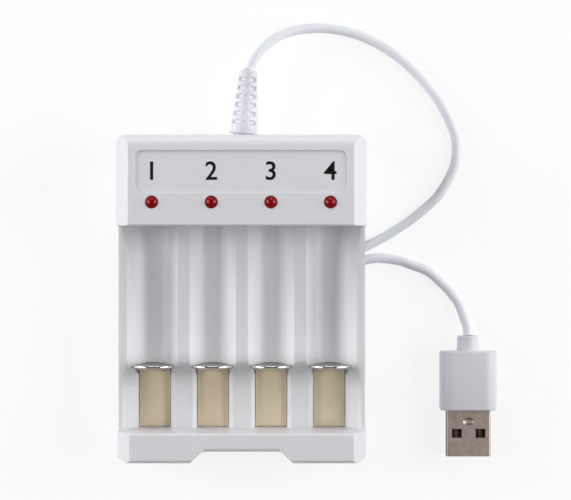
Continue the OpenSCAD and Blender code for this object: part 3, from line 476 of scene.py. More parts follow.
def slotted_cone():
    tree, size = start_tree(
        "slotted cone", Length=float, Base_radius=float, Tip_radius=float, Slot_depth=float,
        Middle_share=float, Rows=int, First_row=float, Row_pitch=float, Slot_width=float, Bridge_turn=float,
        Bridge_width=float, Side_turn=float, Tip_rounding=float, Softness=float)
    grid = add(tree, "GeometryNodeMeshGrid", {
        "Size X": 1.0, "Size Y": 1.0, "Vertices X": CONE_POINTS[0], "Vertices Y": CONE_POINTS[1]})
    place = add(tree, "GeometryNodeInputPosition").outputs[0]
    split = add(tree, "ShaderNodeSeparateXYZ", {0: place})
    # Shares along and around, the first with a short stretch at each end for the flat ends
    share = calc(tree, "ADD", split.outputs["X"], 0.5)
    turn = calc(tree, "MULTIPLY", calc(tree, "ADD", split.outputs["Y"], 0.5), 2 * math.pi)
    length_share = add(tree, "ShaderNodeMapRange", {
        "Value": share, "From Min": END_SHARE, "From Max": 1 - END_SHARE}).outputs["Result"]
    along = calc(tree, "MULTIPLY", length_share, size["Length"])
    near_end = calc(tree, "MINIMUM", share, calc(tree, "SUBTRACT", 1.0, share))
    closing = add(tree, "ShaderNodeMapRange", {
        "Value": near_end, "From Min": 0.0, "From Max": END_SHARE}).outputs["Result"]
    # Outer radius: a cone with a rounded tip
    cone = add(tree, "ShaderNodeMapRange", {
        "Value": length_share, "To Min": size["Base radius"],
        "To Max": size["Tip radius"]}).outputs["Result"]
    tip_gap = calc(tree, "SUBTRACT", size["Length"], along)
    tip_in = calc(tree, "MAXIMUM", calc(tree, "SUBTRACT", size["Tip rounding"], tip_gap), 0.0)
    tip_square = calc(tree, "SUBTRACT", calc(tree, "POWER", size["Tip rounding"], 2.0),
                      calc(tree, "POWER", tip_in, 2.0))
    tip_drop = calc(tree, "SUBTRACT", size["Tip rounding"], calc(tree, "SQRT", tip_square))
    outer = calc(tree, "SUBTRACT", cone, tip_drop)
    # Distance to the nearest row of slots
    past_first = calc(tree, "SUBTRACT", along, size["First row"])
    row = calc(tree, "ROUND", calc(tree, "DIVIDE", past_first, size["Row pitch"]))
    last_row = calc(tree, "SUBTRACT", size["Rows"], 1.0)
    row = calc(tree, "MINIMUM", calc(tree, "MAXIMUM", row, 0.0), last_row)
    row_place = calc(tree, "ADD", calc(tree, "MULTIPLY", row, size["Row pitch"]), size["First row"])
    off_row = calc(tree, "ABSOLUTE", calc(tree, "SUBTRACT", along, row_place))
    half_slot = calc(tree, "MULTIPLY", size["Slot width"], 0.5)
    in_row = calc(tree, "SUBTRACT", 1.0, smooth_step(
        tree, off_row, calc(tree, "SUBTRACT", half_slot, size["Softness"]),
        calc(tree, "ADD", half_slot, size["Softness"])))
    # Distance sideways to the nearest bridge, and to the plain sides
    across = calc(tree, "ABSOLUTE", calc(tree, "SINE", turn))
    sideways = calc(tree, "MULTIPLY", outer, across)
    bridge_place = calc(tree, "MULTIPLY", outer, calc(tree, "SINE", size["Bridge turn"]))
    off_bridge = calc(tree, "ABSOLUTE", calc(tree, "SUBTRACT", sideways, bridge_place))
    half_bridge = calc(tree, "MULTIPLY", size["Bridge width"], 0.5)
    past_bridge = smooth_step(
        tree, off_bridge, calc(tree, "SUBTRACT", half_bridge, size["Softness"]),
        calc(tree, "ADD", half_bridge, size["Softness"]))
    side_place = calc(tree, "MULTIPLY", outer, calc(tree, "COSINE", size["Side turn"]))
    past_side = calc(tree, "SUBTRACT", 1.0, smooth_step(
        tree, sideways, calc(tree, "SUBTRACT", side_place, size["Softness"]),
        calc(tree, "ADD", side_place, size["Softness"])))
    open_share = calc(tree, "MULTIPLY", past_bridge, past_side)
    # Between the two bridges the slots are shallower
    depth_share = add(tree, "ShaderNodeMapRange", {
        "Value": sideways, "From Min": calc(tree, "SUBTRACT", bridge_place, half_bridge),
        "From Max": calc(tree, "ADD", bridge_place, half_bridge),
        "To Min": size["Middle share"]}).outputs["Result"]
    deepest = calc(tree, "MULTIPLY", size["Slot depth"], depth_share)
    depth = calc(tree, "MULTIPLY", deepest, calc(tree, "MULTIPLY", in_row, open_share))
    radius = calc(tree, "MULTIPLY", calc(tree, "SUBTRACT", outer, depth), closing)
    # Wrap around the Y axis, with the seam underneath
    x = calc(tree, "MULTIPLY", radius, calc(tree, "SINE", turn))
    z = calc(tree, "MULTIPLY", calc(tree, "MULTIPLY", radius, calc(tree, "COSINE", turn)), -1.0)
    wrapped = add(tree, "GeometryNodeSetPosition", {
        "Geometry": grid.outputs["Mesh"],
        "Position": add(tree, "ShaderNodeCombineXYZ", {"X": x, "Y": along, "Z": z}).outputs[0]})
    closed = add(tree, "GeometryNodeMergeByDistance", {
        "Geometry": wrapped.outputs[0], "Distance": SEAM_REACH})
    end_tree(tree, size, closed.outputs[0])
    return tree


# %% Strain relief
BOOT_STAND = 0.7
BOOT_BASE_RADIUS = 3.85
BOOT_TIP_RADIUS = 2.45
WALL = 1.8
FLANGE = 9
FLANGE_THICKNESS = 1.2
FLANGE_EDGE = 0.2
NECK_RADIUS = 2.7
NECK_IN = 1
BOOT_SHARP_ANGLE = math.radians(60)

cone = grow(
    slotted_cone(), "lead_white", Length=BOOT_LENGTH - BOOT_STAND, Base_radius=BOOT_BASE_RADIUS,
    Tip_radius=BOOT_TIP_RADIUS, Slot_depth=0.85, Middle_share=0.25, Rows=6, First_row=3.025, Row_pitch=2.31,
    Slot_width=0.95, Bridge_turn=math.radians(15), Bridge_width=0.8, Side_turn=math.radians(26),
    Tip_rounding=0.6, Softness=0.2)
cone.transform(Matrix.Rotation(-BOOT_LEAN, 4, "Z") @ Matrix.Translation((0, BOOT_STAND, 0)))
neck_profile = [(0, -WALL - FLANGE_THICKNESS / 2), (NECK_RADIUS, -WALL - FLANGE_THICKNESS / 2),
                (NECK_RADIUS, BOOT_STAND + NECK_IN), (0, BOOT_STAND + NECK_IN)]
neck = skin(revolve(neck_profile, 32))
neck.transform(Matrix.Rotation(math.radians(-90), 4, "X"))


def slab(low, high, cut):
    """A box with its twelve edges cut off, between two corners."""
    shape = bmesh.new()
    middle, size = (Vector(low) + Vector(high)) / 2, Vector(high) - Vector(low)
    bmesh.ops.create_cube(shape, size=1, matrix=Matrix.LocRotScale(middle, None, size))
    bmesh.ops.bevel(shape, geom=shape.edges, offset=cut, segments=2, profile=0.5, affect="EDGES")
    made = bpy.data.meshes.new("slab")
    shape.to_mesh(made)
    shape.free()
    return made


flange = slab((-FLANGE / 2, -WALL - FLANGE_THICKNESS, -FLANGE / 2), (FLANGE / 2, -WALL, FLANGE / 2),
              FLANGE_EDGE)
boot = joined(cone, neck, flange)
boot.transform(Matrix.Translation((BOOT_X, BACK_Y, BOOT_Z)))
boot.shade_smooth()
boot.set_sharp_from_angle(angle=BOOT_SHARP_ANGLE)
strain_relief = piece("cord_boot", boot, "lead_white", "case", "strain_relief", look="boot_white")

# %% [markdown]
# ## Plug grip
# The grip is moulded over the cord and the shell. Its sides are almost half round, its ends
# nearly square, and a short straight neck stands behind it. Each of these is a slice of known
# outline, so the grip is a skin through slices: a rounded rectangle that grows over the edge
# radius, stays, shrinks again and turns into the neck's circle.

# %% Grip
GRIP_WIDTH = 15.6
SIDE_RADIUS = 3.6
NECK_BASE_RADIUS = 3.05
NECK_TIP_RADIUS = 2.95
SHELL_WIDTH = 12
SHELL_HEIGHT = 4.5
SHELL_LENGTH = 12.5
SHELL_SHEET = 0.3
SHELL_ROOT = 3


def rounded_slice(width, height, radius, y, steps=10):
    """A rounded rectangle in X and Z at one place along Y."""
    reach_x, reach_z = width / 2 - radius, height / 2 - radius
    corners = [(reach_x, reach_z, 0), (-reach_x, reach_z, 90),
               (-reach_x, -reach_z, 180), (reach_x, -reach_z, 270)]
    return [Vector((x, y, z)) for cx, cz, turn in corners
            for x, z in arc((cx, cz), radius, turn, turn + 90, steps)]


def edge_slices(width, height, radius, rounding, y, sense, steps=5):
    """Slices over a rounded edge. sense is 1 where the body starts at y, -1 where it ends there."""
    made = []
    for k in range(steps + 1):
        angle = math.pi / 2 * k / steps
        inset = rounding * (1 - math.sin(angle))
        made.append(rounded_slice(width - 2 * inset, height - 2 * inset, radius - inset,
                                  y + sense * rounding * (1 - math.cos(angle))))
    return made if sense > 0 else made[::-1]


FRONT_ROUNDING = 0.5
NECK_SIDE_ROUNDING = 0.45
FILLET = 0.35
RECESS_CORNER = 0.6
RECESS_GAP = 0.02
MOUTH_GAP = 0.3
MOUTH_DEPTH = 0.15
ROUND_GAP = 0.001

recess = [rounded_slice(SHELL_WIDTH + gap, SHELL_HEIGHT + gap, RECESS_CORNER + gap / 2, y) for gap, y in (
    (0, SHELL_ROOT), (RECESS_GAP, SHELL_ROOT), (RECESS_GAP, MOUTH_DEPTH), (MOUTH_GAP, 0))]
body_slices = [
    *edge_slices(GRIP_WIDTH, GRIP_THICKNESS, SIDE_RADIUS, FRONT_ROUNDING, 0, 1),
    *edge_slices(GRIP_WIDTH, GRIP_THICKNESS, SIDE_RADIUS, NECK_SIDE_ROUNDING, GRIP_LENGTH, -1),
]
neck_slices = [rounded_slice(2 * r, 2 * r, r - ROUND_GAP, GRIP_LENGTH + y) for r, y in (
    *[(NECK_BASE_RADIUS + FILLET - x, z) for x, z in arc((0, FILLET), FILLET, -90, 0, 4)],
    (NECK_TIP_RADIUS, NECK_LENGTH - FILLET),
    *[(NECK_TIP_RADIUS - FILLET + x, NECK_LENGTH - FILLET + z) for x, z in arc((0, 0), FILLET, 15, 90, 4)])]
grip_mesh = skin(recess + body_slices + neck_slices)
shade(grip_mesh)
grip_mesh.transform(Matrix.Translation((PLUG_X, PLUG_Y, GRIP_THICKNESS / 2)))
grip = piece("plug_grip", grip_mesh, "grip_white", "case", "plug_body")

# %% [markdown]
# ## Plug shell
# The shell is one sheet of steel, folded to a flat tube whose edges meet underneath. Two
# square windows and one pressed oval are on top. The sheet starts as a grid: lines around the
# tube by lines along it, with a line on each window's edge. Leaving faces out makes the
# windows, moving points down makes the oval, and Solidify gives the sheet its thickness.

# %% Shell
WINDOW_PLACE = 3.2
WINDOW_WIDTH = 2.65
WINDOW_LENGTH = 2.45
WINDOW_IN = 6.2
SHELL_CORNER = 0.4
OVAL_IN = 3
OVAL_LENGTH = 3
OVAL_WIDTH = 2.2
OVAL_DEPTH = 0.45
OVAL_RIM = 0.5
OVAL_BAND = 3
SHELL_STEP = 0.15
SEAM = 0.04
TONGUE_EDGE = 0.15
PIN_EDGE = 0.05


def spaced(stops, step):
    """Values from the first stop to the last, through each stop, at most a step apart."""
    made = [stops[0]]
    for low, high in zip(stops, stops[1:]):
        count = max(1, math.ceil(abs(high - low) / step))
        made += [low + (high - low) * k / count for k in range(1, count + 1)]
    return made


def shell_mesh():
    half_w, half_h, corner = SHELL_WIDTH / 2, SHELL_HEIGHT / 2, SHELL_CORNER
    window_edges = [s * WINDOW_PLACE + t * WINDOW_WIDTH / 2 for s in (-1, 1) for t in (-1, 1)]
    top = spaced([corner - half_w, *window_edges[:2], -OVAL_LENGTH / 2, OVAL_LENGTH / 2, *window_edges[2:],
                  half_w - corner], SHELL_STEP)
    outline = [(-SEAM, -half_h), (corner - half_w, -half_h)]
    outline += arc((corner - half_w, corner - half_h), corner, 270, 180, 5)[1:]
    outline += arc((corner - half_w, half_h - corner), corner, 180, 90, 5)
    outline += [(x, half_h) for x in top[1:]]
    outline += arc((half_w - corner, half_h - corner), corner, 90, 0, 5)[1:]
    outline += arc((half_w - corner, corner - half_h), corner, 0, -90, 5)
    outline += [(SEAM, -half_h)]
    window_y = [-WINDOW_IN - WINDOW_LENGTH / 2, -WINDOW_IN + WINDOW_LENGTH / 2]
    rows = spaced([-SHELL_LENGTH, *window_y, -OVAL_IN - OVAL_BAND / 2, -OVAL_IN + OVAL_BAND / 2, 0,
                   SHELL_ROOT], SHELL_STEP)
    shape = bmesh.new()
    grid = []
    for y in rows:
        line = []
        for x, z in outline:
            # Depth of the pressed oval: nearly level inside, with a steep and rounded rim
            reach = math.hypot(x / (OVAL_LENGTH / 2), (y + OVAL_IN) / (OVAL_WIDTH / 2))
            rim_share = min(1, max(0, (1 - reach) / OVAL_RIM))
            press = OVAL_DEPTH * (0.5 - 0.5 * math.cos(math.pi * rim_share)) if z > 0 else 0
            line.append(shape.verts.new((x, y, z - press)))
        grid.append(line)
    for low, high, y0, y1 in zip(grid, grid[1:], rows, rows[1:]):
        for k in range(len(outline) - 1):
            x, z = (outline[k][0] + outline[k + 1][0]) / 2, outline[k][1]
            beside = abs(abs(x) - WINDOW_PLACE) < WINDOW_WIDTH / 2
            in_window = beside and window_y[0] < (y0 + y1) / 2 < window_y[1]
            if not (in_window and z > 0):
                shape.faces.new((low[k], low[k + 1], high[k + 1], high[k]))
    bmesh.ops.remove_doubles(shape, verts=shape.verts, dist=MM)
    made = bpy.data.meshes.new("shell")
    shape.to_mesh(made)
    shape.free()
    return made


shell_holder = loose("shell_sheet", shell_mesh())
solidify = shell_holder.modifiers.new("sheet", "SOLIDIFY")
solidify.thickness = SHELL_SHEET
solidify.offset = -1
solidify.use_even_offset = True
shell = flatten(shell_holder)
shade(shell)
shell.transform(Matrix.Translation((PLUG_X, PLUG_Y, GRIP_THICKNESS / 2)))
plug_shell = piece("plug_sleeve", shell, "shell_steel", "case", "plug_shell")

tongue = piece("plug_insulator", softened("plug_tongue", TONGUE_EDGE), "black_plastic", "case",
               "plug_tongue", look="tongue_brown")
pins = piece("plug_contacts", softened("plug_pins", PIN_EDGE), "pin_gold", "case", "plug_pins")

# %% [markdown]
# ## A row of equal pieces
# Lamps, strips and contacts repeat at the pitch of the bays. One tree repeats any piece: it
# puts a line of points in space and an instance of the piece on each.

# %% Tree of a row
def row_tree():
    tree, size = start_tree("row", Piece=bpy.types.Object, Count=int, Start=Vector, Step=Vector)
    line = add(tree, "GeometryNodeMeshLine", {"Count": size["Count"], "Start Location": size["Start"],
                                              "Offset": size["Step"]})
    seed = add(tree, "GeometryNodeObjectInfo", {"Object": size["Piece"], "As Instance": True})
    placed = add(tree, "GeometryNodeInstanceOnPoints", {
        "Points": line.outputs["Mesh"], "Instance": seed.outputs["Geometry"]})
    end_tree(tree, size, placed.outputs["Instances"])
    return tree


row = row_tree()
BAYS = 4
BAY_PITCH = 15.7
FIRST_BAY = -BAY_PITCH * (BAYS - 1) / 2


def repeat(mesh, slot, count=BAYS, start=(0, 0, 0)):
    """A mesh, drawn for the first bay, repeated for the others."""
    seed = loose("seed", mesh)
    made = grow(row, slot, Piece=seed, Count=count, Start=start, Step=(BAY_PITCH, 0.0, 0.0))
    bpy.data.objects.remove(seed)
    return made


def each(name):
    """The names of the four nodes of one kind."""
    return [f"{name}_{k + 1}" for k in range(BAYS)]


# %% [markdown]
# ## Lamps
# Each lamp is an ordinary small one with a red lens: a dome on a short cylinder that fills its
# hole up to just under the roof, and two leads. A revolved profile gives the lens.

# %% Lamps
LAMP_RADIUS = 1.6
COLLAR_RADIUS = 1.68
COLLAR_Z = 26.85
COLLAR_EDGE = 0.1
LAMP_Y = 25.7
LAMP_FOOT_Z = 21.2
LAMP_TOP_Z = 27.8
LEAD_PITCH = 2.54
LEAD_HALF = 0.22
LEAD_EDGE = 0.05
LEAD_IN = 0.5
LEAD_PAST_BOARD = 1
BOARD_THICKNESS = 1.6

dome_middle = LAMP_TOP_Z - LAMP_RADIUS
dome_start = math.degrees(math.asin((COLLAR_Z - dome_middle) / LAMP_RADIUS))
dome = arc((0, dome_middle), LAMP_RADIUS, dome_start, 90, 12)
lens = skin(revolve([
    (0, LAMP_FOOT_Z), (COLLAR_RADIUS, LAMP_FOOT_Z), (COLLAR_RADIUS, COLLAR_Z - COLLAR_EDGE),
    (COLLAR_RADIUS - COLLAR_EDGE, COLLAR_Z), *dome[:-1], (0, LAMP_TOP_Z)], 40))
leads = [slab((s * LEAD_PITCH / 2 - LEAD_HALF, -LEAD_HALF, LAMP_FOOT_Z - BOARD_THICKNESS - LEAD_PAST_BOARD),
              (s * LEAD_PITCH / 2 + LEAD_HALF, LEAD_HALF, LAMP_FOOT_Z + LEAD_IN), LEAD_EDGE)
         for s in (-1, 1)]
lamp = joined(lens, *leads)
shade(lamp)
lamp.transform(Matrix.Translation((FIRST_BAY, LAMP_Y, 0)))
piece("lamps", repeat(lamp, "lamp_red"), "lamp_red", "case", *each("indicator_lamp"))

# %% [markdown]
# ## Brass strips and positive contacts
# The strip on each bay's floor carries the current from the sliding contact. The plate under
# the header's edge takes it at the other end. Both are stamped, so their edges are just broken.
# The strip is drawn a little wider than in the frame, to close the dark gaps beside it.

# %% Strips and plates
STRIP_WIDENING = 1.033
STAMPED_EDGE = 0.08

strip = softened("contact_rail_1", STAMPED_EDGE)
strip.transform(Matrix.Translation((-FIRST_BAY, 0, 0)))
strip.transform(Matrix.Diagonal((STRIP_WIDENING, 1, 1, 1)))
strip.transform(Matrix.Translation((FIRST_BAY, 0, 0)))
piece("brass_strips", repeat(strip, "rail_brass"), "rail_brass", "case", *each("contact_rail"))
plates = repeat(softened("positive_contact_1", STAMPED_EDGE), "contact_steel")
piece("contact_plates", plates, "contact_steel", "case", *each("positive_contact"))

# %% [markdown]
# ## Sliding contacts
# Each cell is held by a plated head that slides back against a spring. The head is a shallow
# double dome with a rolled rim, open at the back, so a revolved section does it. Below it a
# folded bracket straddles the brass strip: its two legs hook around the strip's edges and reach
# through the floor under them.

# %% Sliding heads
RIM_Y = -18.0
HEAD_Z = 17.6
HEAD_RADIUS = 5.7
HEAD_THICKNESS = 2.4
HEAD_BACK = 1.8
HEAD_SHEET = 0.35
HEAD_OPENING = 3.5
LIP_RADIUS = 0.385
LIP_MARGIN = 0.1
ROLL_MARGIN = 0.12
INNER_MARGIN = 0.15
FLOOR_Z = 10.5
PLATE_GAP = 0.1
LEG_X = 4.17
LEG_SHEET = 0.12
LEG_LENGTH = 2.2
LEG_BEND = 0.3
LEG_LOW = 6.2
LEG_RISE = 2
HOOK_X = 3
HOOK_DROP = 0.67
HOOK_Z = FLOOR_Z - HOOK_DROP
HOOK_EDGE = 0.1


def dome_points(radius, rise, r_from, r_to, steps=14):
    """Profile of a dome whose rim has the given radius and whose middle stands up by rise."""
    ball = (radius ** 2 + rise ** 2) / (2 * rise)
    radii = [r_from + (r_to - r_from) * k / steps for k in range(steps + 1)]
    return [(r, math.sqrt(ball ** 2 - r ** 2) - ball + rise) for r in radii]


def head_profile():
    half = HEAD_THICKNESS / 2
    inner_r = HEAD_RADIUS - 2 * HEAD_SHEET
    inner_half, inner_back = half - HEAD_SHEET, HEAD_BACK - HEAD_SHEET
    joint = HEAD_RADIUS - 2 * LIP_RADIUS
    front = dome_points(HEAD_RADIUS, half, 0, joint)
    lip = arc((HEAD_RADIUS - LIP_RADIUS, 0), LIP_RADIUS, 62, -55, 10)
    back = [(r, -h) for r, h in dome_points(HEAD_RADIUS, HEAD_BACK, joint, HEAD_OPENING + LIP_MARGIN)]
    edge_h = dome_points(HEAD_RADIUS, HEAD_BACK, HEAD_OPENING, HEAD_OPENING)[0][1]
    rolled = arc((HEAD_OPENING + ROLL_MARGIN, HEAD_SHEET / 2 - edge_h), HEAD_SHEET / 2, -110, -250, 6)
    inside_back = [(r, -h) for r, h in dome_points(
        inner_r, inner_back, HEAD_OPENING + INNER_MARGIN, inner_r - LIP_MARGIN, 6)]
    inside_front = dome_points(inner_r, inner_half, inner_r - LIP_MARGIN, 0, 10)
    return front + lip + back + rolled + inside_back + inside_front


head = skin(revolve(head_profile(), 96))
head.transform(Matrix.Translation((0, 0, HEAD_Z)) @ Matrix.Rotation(math.radians(-90), 4, "X"))


def extruded(outline, low_y, high_y):
    """A closed outline in X and Z, drawn out along Y."""
    return skin([[Vector((x, y, z)) for x, z in outline] for y in (low_y, high_y)])


def bracket():
    """A cross plate under the head, with a leg on each side that hooks around the brass strip."""
    outer = LEG_X + LEG_SHEET
    plate_low, plate_high = FLOOR_Z + PLATE_GAP, HEAD_Z - HEAD_OPENING
    fold = arc((outer - LEG_BEND, -LEG_BEND), LEG_BEND, 90, 0, 4)
    plan = [(outer - LEG_BEND, 0), *fold[1:], (LEG_X, -LEG_BEND), (LEG_X, -LEG_SHEET)]
    plan += [(-x, y) for x, y in reversed(plan)]
    plate = skin([[Vector((x, y, z)) for x, y in plan] for z in (plate_low, plate_high)])
    leg = [(HOOK_X, LEG_LOW), (HOOK_X + LEG_SHEET, LEG_LOW), (HOOK_X + LEG_SHEET, HOOK_Z),
           (outer - HOOK_EDGE, HOOK_Z), (outer, HOOK_Z + HOOK_EDGE), (outer, FLOOR_Z + LEG_RISE),
           (LEG_X, FLOOR_Z + LEG_RISE), (LEG_X, HOOK_Z + LEG_SHEET), (HOOK_X, HOOK_Z + LEG_SHEET)]
    legs = [extruded([(side * x, z) for x, z in leg], -LEG_LENGTH, -LEG_BEND) for side in (-1, 1)]
    return joined(plate, *legs)


slider = joined(head, bracket())
shade(slider)
slider.transform(Matrix.Translation((FIRST_BAY, RIM_Y, 0)))
for k in range(BAYS):
    own = repeat(slider.copy(), "contact_chrome", count=1, start=(BAY_PITCH * k, 0.0, 0.0))
    piece(f"sliding_head_{k + 1}", own, "contact_chrome", f"slider_{k + 1}", f"slider_contact_{k + 1}")

# %% [markdown]
# ## Return springs
# A spring follows a rule as well: its angle grows evenly and its height grows with it, except
# in the first and last turn, which lie flat against their seats. The tree moves the points of
# a plain line onto that path and sweeps a small circle along it. Each spring rides on the case.

# %% Tree of a spring
COIL_POINTS = 241
WIRE_SIDES = 8


def spring_tree():
    tree, size = start_tree(
        "spring", Turns=int, Radius=float, Wire_radius=float, Length=float, Place=Vector)
    line = add(tree, "GeometryNodeCurvePrimitiveLine")
    points = add(tree, "GeometryNodeResampleCurve", {"Curve": line.outputs[0], "Count": COIL_POINTS})
    share = add(tree, "GeometryNodeSplineParameter").outputs["Factor"]
    turn = calc(tree, "MULTIPLY", share, size["Turns"])
    angle = calc(tree, "MULTIPLY", turn, 2 * math.pi)
    wire = calc(tree, "MULTIPLY", size["Wire radius"], 2.0)
    last = calc(tree, "SUBTRACT", size["Turns"], 1.0)
    active = calc(tree, "SUBTRACT", size["Turns"], 2.0)
    open_length = calc(tree, "SUBTRACT", size["Length"], calc(tree, "MULTIPLY", wire, 3.0))
    pitch = calc(tree, "DIVIDE", open_length, active)
    first_rise = calc(tree, "MULTIPLY", calc(tree, "MINIMUM", turn, 1.0), wire)
    middle = calc(tree, "MINIMUM", calc(tree, "MAXIMUM", calc(tree, "SUBTRACT", turn, 1.0), 0.0), active)
    last_rise = calc(tree, "MULTIPLY", calc(tree, "MAXIMUM", calc(tree, "SUBTRACT", turn, last), 0.0), wire)
    flat_rise = calc(tree, "ADD", first_rise, last_rise)
    rise = calc(tree, "ADD", flat_rise, calc(tree, "MULTIPLY", middle, pitch))
    along = calc(tree, "ADD", rise, size["Wire radius"])
    coil = add(tree, "ShaderNodeCombineXYZ", {
        "X": calc(tree, "MULTIPLY", calc(tree, "COSINE", angle), size["Radius"]), "Y": along,
        "Z": calc(tree, "MULTIPLY", calc(tree, "SINE", angle), size["Radius"])})
    wound = add(tree, "GeometryNodeSetPosition", {
        "Geometry": points.outputs[0], "Position": coil.outputs[0], "Offset": size["Place"]})
    section = add(tree, "GeometryNodeCurvePrimitiveCircle", {
        "Resolution": WIRE_SIDES, "Radius": size["Wire radius"]})
    swept = add(tree, "GeometryNodeCurveToMesh", {
        "Curve": wound.outputs[0], "Profile Curve": section.outputs[0], "Fill Caps": True})
    end_tree(tree, size, swept.outputs[0])
    return tree


# %% Springs
SPRING_RADIUS = 1.4
WIRE_RADIUS = 0.2
SPRING_LENGTH = 16.75
SPRING_TURNS = 10
SEAT_Y = -37.45
SPRING_Z = 7.0

spring = spring_tree()
for k in range(BAYS):
    coil = grow(spring, "spring_steel", Turns=SPRING_TURNS, Radius=SPRING_RADIUS, Wire_radius=WIRE_RADIUS,
                Length=SPRING_LENGTH, Place=(FIRST_BAY + BAY_PITCH * k, SEAT_Y, SPRING_Z))
    shade(coil)
    soft = piece(f"contact_spring_{k + 1}", coil, "spring_steel", "case", f"return_spring_{k + 1}")
    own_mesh(soft)

# %% [markdown]
# ## Case screws
# Four pan-head screws hold the base cover. The tree cuts the cross out of one head with a mesh
# boolean, then sets the screw at two rows of points, since the back pair stands closer
# together than the pair in the end block.

# %% Tree of the screws
def screw_tree():
    tree, size = start_tree("screws", Piece=bpy.types.Object, Reach=float, Arm=float, Depth=float,
                            Back=Vector, End=Vector)
    seed = add(tree, "GeometryNodeObjectInfo", {"Object": size["Piece"]}).outputs["Geometry"]
    arms = []
    for a, b in ((size["Reach"], size["Arm"]), (size["Arm"], size["Reach"])):
        sides = add(tree, "ShaderNodeCombineXYZ", {"X": a, "Y": b, "Z": size["Depth"]})
        arms.append(add(tree, "GeometryNodeMeshCube", {"Size": sides.outputs[0]}).outputs["Mesh"])
    cut = add(tree, "GeometryNodeMeshBoolean", {"Mesh 1": seed}, operation="DIFFERENCE")
    for arm in arms:
        tree.links.new(arm, cut.inputs["Mesh 2"])
    both = add(tree, "GeometryNodeJoinGeometry")
    for corner in ("Back", "End"):
        split = add(tree, "ShaderNodeSeparateXYZ", {0: size[corner]})
        start = add(tree, "ShaderNodeCombineXYZ", {
            "X": calc(tree, "MULTIPLY", split.outputs["X"], -1.0), "Y": split.outputs["Y"],
            "Z": split.outputs["Z"]})
        step = add(tree, "ShaderNodeCombineXYZ", {"X": calc(tree, "MULTIPLY", split.outputs["X"], 2.0)})
        line = add(tree, "GeometryNodeMeshLine", {
            "Count": 2, "Start Location": start.outputs[0], "Offset": step.outputs[0]})
        tree.links.new(line.outputs["Mesh"], both.inputs[0])
    placed = add(tree, "GeometryNodeInstanceOnPoints", {
        "Points": both.outputs[0], "Instance": cut.outputs["Mesh"]})
    end_tree(tree, size, placed.outputs["Instances"])
    return tree


# %% Screws
SCREW_SINK = 0.3
SCREW_HEAD_RADIUS = 2.0
SCREW_HEAD_HEIGHT = 1.2
SCREW_RADIUS = 1.1
SCREW_LENGTH = 9
SCREW_TIP_RADIUS = 0.3
PAN_EDGE = 0.4
THREAD_PITCH = 0.8
THREAD_TURNS = 9
THREAD_DEPTH = 0.22
THREAD_FLANK = 0.3

pan = [(0, 0), *arc((SCREW_HEAD_RADIUS - PAN_EDGE, PAN_EDGE), PAN_EDGE, -90, 0, 5),
       (SCREW_HEAD_RADIUS, SCREW_HEAD_HEIGHT)]
shank_end = SCREW_HEAD_HEIGHT + SCREW_LENGTH
root_radius = SCREW_RADIUS - THREAD_DEPTH
thread = [(SCREW_RADIUS, SCREW_HEAD_HEIGHT + 2 * THREAD_FLANK)]
for turn in range(THREAD_TURNS):
    low = SCREW_HEAD_HEIGHT + 3 * THREAD_FLANK + turn * THREAD_PITCH
    thread += [(root_radius, low), (SCREW_RADIUS, low + THREAD_FLANK), (root_radius, low + 2 * THREAD_FLANK)]
profile = [*pan, (SCREW_RADIUS, SCREW_HEAD_HEIGHT), *thread, (SCREW_TIP_RADIUS, shank_end), (0, shank_end)]
screw = skin(revolve(profile, 32))
shade(screw)
seed = loose("screw", screw)
screws = grow(screw_tree(), "screw_steel", Piece=seed, Reach=2.4, Arm=0.5, Depth=1.3,
              Back=(26.5, 38.2, SCREW_SINK), End=(28.6, -39.15, SCREW_SINK))
bpy.data.objects.remove(seed)
piece("cover_screws", screws, "screw_steel", "case", "case_screws")

# %% [markdown]
# ## Numbers on the panel
# The recessed panel carries a plain black number over each lamp, one for each bay. Blender's
# text object is made a mesh at once, and the mesh is then moved to its place: printed ink is a
# film that lies on the panel's floor.

# %% Bay numbers
PANEL_Z = 26.7
NUMBER_Y = 33.7
NUMBER_HEIGHT = 4.8
INK = 0.02
NUMBER_WEIGHT = 0.08
NUMBER_STEPS = 6
DIGIT_SHARE = 0.7


def printed(text, x):
    """One number as a thin raised film, in millimetres."""
    data = bpy.data.curves.new("number", "FONT")
    data.body = text
    data.align_x = "CENTER"
    data.align_y = "CENTER"
    data.size = NUMBER_HEIGHT / DIGIT_SHARE
    data.extrude = INK / 2
    data.offset = NUMBER_WEIGHT
    data.resolution_u = NUMBER_STEPS
    mesh = flatten(loose("number", data))
    mesh.transform(Matrix.Translation((x, NUMBER_Y, PANEL_Z + INK / 2)))
    return mesh


numbers = joined(*[printed(str(k + 1), FIRST_BAY + BAY_PITCH * k) for k in range(BAYS)])
shape = bmesh.new()
shape.from_mesh(numbers)
bmesh.ops.remove_doubles(shape, verts=shape.verts, dist=MM)
shape.to_mesh(numbers)
shape.free()
piece("bay_numbers", numbers, "ink_black", "case")
heights = [vertex.co.y for vertex in numbers.vertices]
print("number height:", round(max(heights) - min(heights), 5), "m")

# %% [markdown]
# ## Floor
# The floor is a plain pale sheet. Its own colour is matt and takes the object's faint shadow.
# What the camera and the metal see gets some glow on top, through Light Path, so the sheet is
# nearly white without more light on the object.

# %% Floor
FLOOR_HALF = 1.6
FLOOR_GAP = 0.05
FLOOR_GLOW = 0.83

floor_corners = [(x * FLOOR_HALF, y * FLOOR_HALF, 0) for x, y in ((-1, -1), (1, -1), (1, 1), (-1, 1))]
floor_mesh = bpy.data.meshes.new("floor")
floor_mesh.from_pydata(floor_corners, [], [(0, 1, 2, 3)])
floor = loose("floor", floor_mesh)
floor.location.z = -FLOOR_GAP * MM

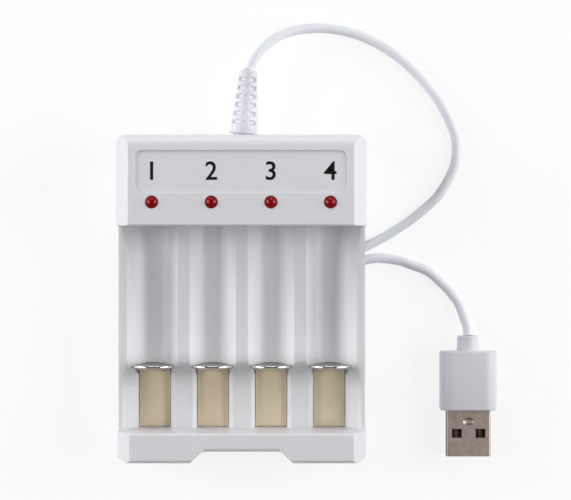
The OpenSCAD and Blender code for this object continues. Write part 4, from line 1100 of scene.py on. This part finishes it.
floor_paint = bpy.data.materials.new("floor_paint")
floor_paint.use_nodes = True
paper = floor_paint.node_tree
paper.nodes.remove(paper.nodes["Principled BSDF"])
matt = add(paper, "ShaderNodeBsdfDiffuse", {"Color": (0.86, 0.86, 0.87, 1)})
seen_matt = add(paper, "ShaderNodeBsdfDiffuse", {"Color": (0.18, 0.18, 0.18, 1)})
glow = add(paper, "ShaderNodeEmission", {"Strength": FLOOR_GLOW})
seen = add(paper, "ShaderNodeAddShader", {0: seen_matt.outputs[0], 1: glow.outputs[0]})
ray = add(paper, "ShaderNodeLightPath").outputs
direct = calc(paper, "MAXIMUM", calc(paper, "MAXIMUM", ray["Is Camera Ray"], ray["Is Glossy Ray"]),
              ray["Is Transmission Ray"])
surface = add(paper, "ShaderNodeMixShader", {"Fac": direct, 1: matt.outputs[0], 2: seen.outputs[0]})
paper.links.new(surface.outputs[0], paper.nodes["Material Output"].inputs["Surface"])
floor_mesh.materials.append(floor_paint)

# %% [markdown]
# ## Light
# The photograph's light comes from both sides, low, and from behind the header, and hardly at
# all from above, where the camera hangs. So the sky is only a faint grey, and five soft lamps
# do the work: a low and a high one on each side, and one behind. Each stands on a sphere around
# the charger, at a compass direction and a height in degrees, and faces its middle.

# %% Sky and lamps
SKY = 0.08
LAMP_DISTANCE = 0.9
LAMP_SIZE = (0.6, 0.3)

world = bpy.data.worlds.new("studio")
bpy.context.scene.world = world
world.use_nodes = True
world.node_tree.nodes["Background"].inputs["Color"].default_value = (1, 1, 1, 1)
world.node_tree.nodes["Background"].inputs["Strength"].default_value = SKY


def soft_lamp(name, compass, height, power):
    """A rectangular area lamp. compass is 0 behind the header and 90 on the right."""
    data = bpy.data.lights.new(name, "AREA")
    data.shape = "RECTANGLE"
    data.size, data.size_y = LAMP_SIZE
    data.energy = power
    lamp = loose(name, data)
    turn, rise = math.radians(compass), math.radians(height)
    lamp.location = LAMP_DISTANCE * Vector(
        (math.cos(rise) * math.sin(turn), math.cos(rise) * math.cos(turn), math.sin(rise)))
    lamp.rotation_euler = (-lamp.location).to_track_quat("-Z", "Y").to_euler()
    return lamp


soft_lamp("left_low", -75, 15, 4.8)
soft_lamp("left_high", -90, 40, 2.3)
soft_lamp("right_low", 75, 15, 3.8)
soft_lamp("right_high", 90, 40, 3.1)
soft_lamp("back", 0, 20, 1.8)
print("lamps:", [lamp.name for lamp in bpy.data.lights])
